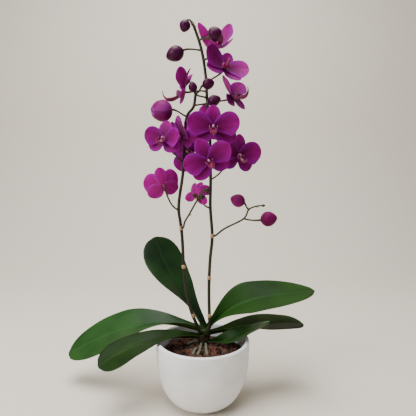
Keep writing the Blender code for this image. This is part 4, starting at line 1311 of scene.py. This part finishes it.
class ORCHID_OT_buds(bpy.types.Operator):
    """Build the side twigs and the closed buds."""
    bl_idname = "orchid.buds"
    bl_label = "Twigs and buds"

    def execute(self, context):
        lines = limb_lines()
        stalks = context.scene.orchid_stalks
        # twigs are as smooth and waxy as the spikes, a little greener
        bark = stalk_material("Waxy twig skin", stalks.low, "#2C2A14", "#4A4626")
        self.add_twigs(lines, bark)
        self.add_buds(lines, context.scene.orchid_blooms.bud, bark)
        return {"FINISHED"}

    def add_twigs(self, lines, bark):
        """Side twigs with their bracts and their smallest buds."""
        # dry bracts are tan and dull, and a bud that has hardly grown is a dark green bead
        scale = stalk_material("Twig bract", "#8A7048", "#A98B62", "#5E4A30", 0.7)
        green = stalk_material("Tiny green bud skin", "#241A10", "#2C1016", "#38281C")
        for name, (spike, height, route) in TWIGS.items():
            form = Form()
            seat, out, _ = limb_seat(lines, spike, height, route[0])
            path = smooth_path((seat - out * 0.001, seat + out * 0.003, *route), 6)
            form.tube(path, lambda t: TWIG_RADIUS + (TWIG_TIP_RADIUS - TWIG_RADIUS) * t, 12, 0)
            for number in (1, 2, 3):
                along = (Vector(route[number + 1]) - Vector(route[number - 1])).normalized()
                side = along.cross(Vector((0.0, 1.0, 0.0))).normalized() * (-1) ** number
                bract(form, Vector(route[number]), (along + side * 0.4).normalized(), side, TWIG_RADIUS,
                      0.0042, 1.4, 1)
            for fork, centre, size, width, towards in TWIG_BUDS[name]:
                tip = Vector(towards).normalized()
                start = Vector(route[fork])
                end = Vector(centre) - tip * size * 0.3
                if (end - start).length > 0.004:
                    add_stalk(form, start, (end - start).normalized(), end, tip, TWIG_TIP_RADIUS * 0.8, 0)
                add_bud(form, centre, size, width, towards, 2)
            form.finish(name.replace("twig", "side_twig"), [bark, scale, green], "spike", name)

    def add_buds(self, lines, tone, bark):
        """Closed buds on the spikes and twigs, and the one that begins to open."""
        # closed buds are near-black plum with a soft shine, the low ones are redder velvet, and the
        # opening one already shows the petals' magenta
        plum = stalk_material("Dark plum bud skin", "#340428", tone, "#46063A", 0.36, 0.16)
        # the opening and low buds keep the petals' rim colour, painted light through thin edges
        opening = petal_material("Opening bud velvet", "#640A50", "#700654", "#9A3E9C", "#4A043C")
        bright = petal_material("Low bud velvet", "#58083A", "#620444", "#7C1A66", "#440430")
        for name, (limb, height, centre, size, width, towards) in BUDS.items():
            form = Form()
            size *= BUD_LENGTHENING
            width *= BUD_FULLNESS
            if name == OPENING_BUD:
                skin = opening
                add_bud(form, centre, size, width * 0.9, towards, 0)
                add_opening_sepals(form, centre, size, width, towards)
            else:
                skin = bright if limb in TWIGS else plum
                add_bud(form, centre, size, width, towards, 0)
            seat, out, _ = limb_seat(lines, limb, height, centre)
            tip = Vector(towards).normalized()
            add_stalk(form, seat, out, Vector(centre) - tip * size * 0.42, tip, PEDICEL_RADIUS, 1, 1.3)
            form.finish(name.replace("bud", "closed_bud"), [skin, bark], "bud", name)


# --- stage --------------------------------------------------------------------------------------

# backdrop, in metres: half its width, place of its wall, radius of the bend into it, and its height
FLOOR_HALF, WALL_PLACE, BEND_RADIUS, WALL_TOP = 4.0, 1.5, 0.7, 3.2
# soft lamps: place, size, share of the main lamp's power, and the spot that each one faces
PLANT_MIDDLE = (0.0, 0.0, 0.3)
LAMPS = {
    "overhead": ((-0.25, -0.25, 1.9), 1.3, 1.0, PLANT_MIDDLE),
    "key": ((-1.3, -1.1, 1.1), 0.8, 0.46, PLANT_MIDDLE),
    "fill": ((1.4, -0.9, 0.8), 0.8, 0.02, PLANT_MIDDLE),
    "backdrop": ((0.0, 0.3, 1.6), 1.0, 0.20, (0.0, WALL_PLACE, 0.6)),
}
ROOM_LIGHT = 0.28
# camera: focal length and sensor width in mm, and its aim in degrees down and to the right
LENS, SENSOR_WIDTH = 34.6, 36.0
AIM_DOWN, AIM_RIGHT = 4.335, 0.776


class ORCHID_OT_stage(bpy.types.Operator):
    """Set the floor, the soft lights and the camera."""
    bl_idname = "orchid.stage"
    bl_label = "Stage"

    def execute(self, context):
        stage = context.scene.orchid_stage
        self.add_backdrop(stage.floor)
        world = bpy.data.worlds.new("Soft room light")
        world.use_nodes = True
        sky = world.node_tree.nodes["Background"]
        sky.inputs["Color"].default_value = linear("#E4E6EA")
        sky.inputs["Strength"].default_value = ROOM_LIGHT
        context.scene.world = world
        for name, (place, size, share, target) in LAMPS.items():
            light = bpy.data.lights.new(name, "AREA")
            light.energy = stage.light * share
            light.size = size
            self.aim(link(name, light), place, Vector(target) - Vector(place))
        camera = bpy.data.cameras.new("camera")
        camera.sensor_width = SENSOR_WIDTH
        camera.lens = LENS
        eye = link("camera", camera)
        pitch, yaw = math.radians(AIM_DOWN), math.radians(AIM_RIGHT)
        ahead = Vector((math.sin(yaw) * math.cos(pitch), math.cos(yaw) * math.cos(pitch),
                        -math.sin(pitch)))
        self.aim(eye, (0.0, -stage.distance, stage.eye_height), ahead)
        context.scene.camera = eye
        return {"FINISHED"}

    def add_backdrop(self, tone):
        """Floor that bends up into a wall behind the plant."""
        profile = [(-FLOOR_HALF, 0.0), (WALL_PLACE - BEND_RADIUS, 0.0)]
        for step in range(1, 13):
            turn = 0.5 * math.pi * step / 12
            profile.append((WALL_PLACE - BEND_RADIUS * (1.0 - math.sin(turn)),
                            BEND_RADIUS * (1.0 - math.cos(turn))))
        profile.append((WALL_PLACE, WALL_TOP))
        points = [(side * FLOOR_HALF, y, z) for y, z in profile for side in (-1, 1)]
        faces = [(2 * n, 2 * n + 1, 2 * n + 3, 2 * n + 2) for n in range(len(profile) - 1)]
        mesh = bpy.data.meshes.new("floor")
        mesh.from_pydata(points, [], faces)
        mesh.shade_smooth()
        # uncoated paper scatters light evenly, so the backdrop has no hot spots
        paper, _, shader = new_material("Pale seamless paper", Roughness=0.95)
        shader.inputs["Base Color"].default_value = tone
        mesh.materials.append(paper)
        link("floor", mesh)

    def aim(self, thing, place, ahead):
        """Put a lamp or the camera at a place, facing along a direction."""
        thing.location = place
        thing.rotation_euler = ahead.to_track_quat("-Z", "Y").to_euler()


# --- add-on -------------------------------------------------------------------------------------

class ORCHID_PT_panel(bpy.types.Panel):
    """Sidebar panel that lists the pieces and their settings."""
    bl_label = "Potted moth orchid"
    bl_idname = "ORCHID_PT_panel"
    bl_space_type = "VIEW_3D"
    bl_region_type = "UI"
    bl_category = "Orchid"

    def draw(self, context):
        for group, kind in SETTINGS.items():
            box = self.layout.box()
            for field in kind.__annotations__:
                box.prop(getattr(context.scene, group), field)
        for operator in OPERATORS:
            self.layout.operator(operator.bl_idname)


SETTINGS = {
    "orchid_pot": OrchidPotSettings,
    "orchid_stalks": OrchidStalkSettings,
    "orchid_leaves": OrchidLeafSettings,
    "orchid_blooms": OrchidBloomSettings,
    "orchid_stage": OrchidStageSettings,
}
OPERATORS = (ORCHID_OT_pot, ORCHID_OT_bark, ORCHID_OT_crown, ORCHID_OT_spikes, ORCHID_OT_leaves,
             ORCHID_OT_blooms, ORCHID_OT_buds, ORCHID_OT_stage)


def register():
    for group, kind in SETTINGS.items():
        bpy.utils.register_class(kind)
        setattr(bpy.types.Scene, group, PointerProperty(type=kind))
    for kind in (*OPERATORS, ORCHID_PT_panel):
        bpy.utils.register_class(kind)


def unregister():
    for kind in reversed((*OPERATORS, ORCHID_PT_panel)):
        bpy.utils.unregister_class(kind)
    for group, kind in reversed(SETTINGS.items()):
        delattr(bpy.types.Scene, group)
        bpy.utils.unregister_class(kind)


def main():
    register()
    bpy.ops.orchid.pot()
    bpy.ops.orchid.bark()
    bpy.ops.orchid.crown()
    bpy.ops.orchid.spikes()
    bpy.ops.orchid.leaves()
    bpy.ops.orchid.blooms()
    bpy.ops.orchid.buds()
    bpy.ops.orchid.stage()
    bpy.context.view_layer.update()


if __name__ == "__main__":
    main()
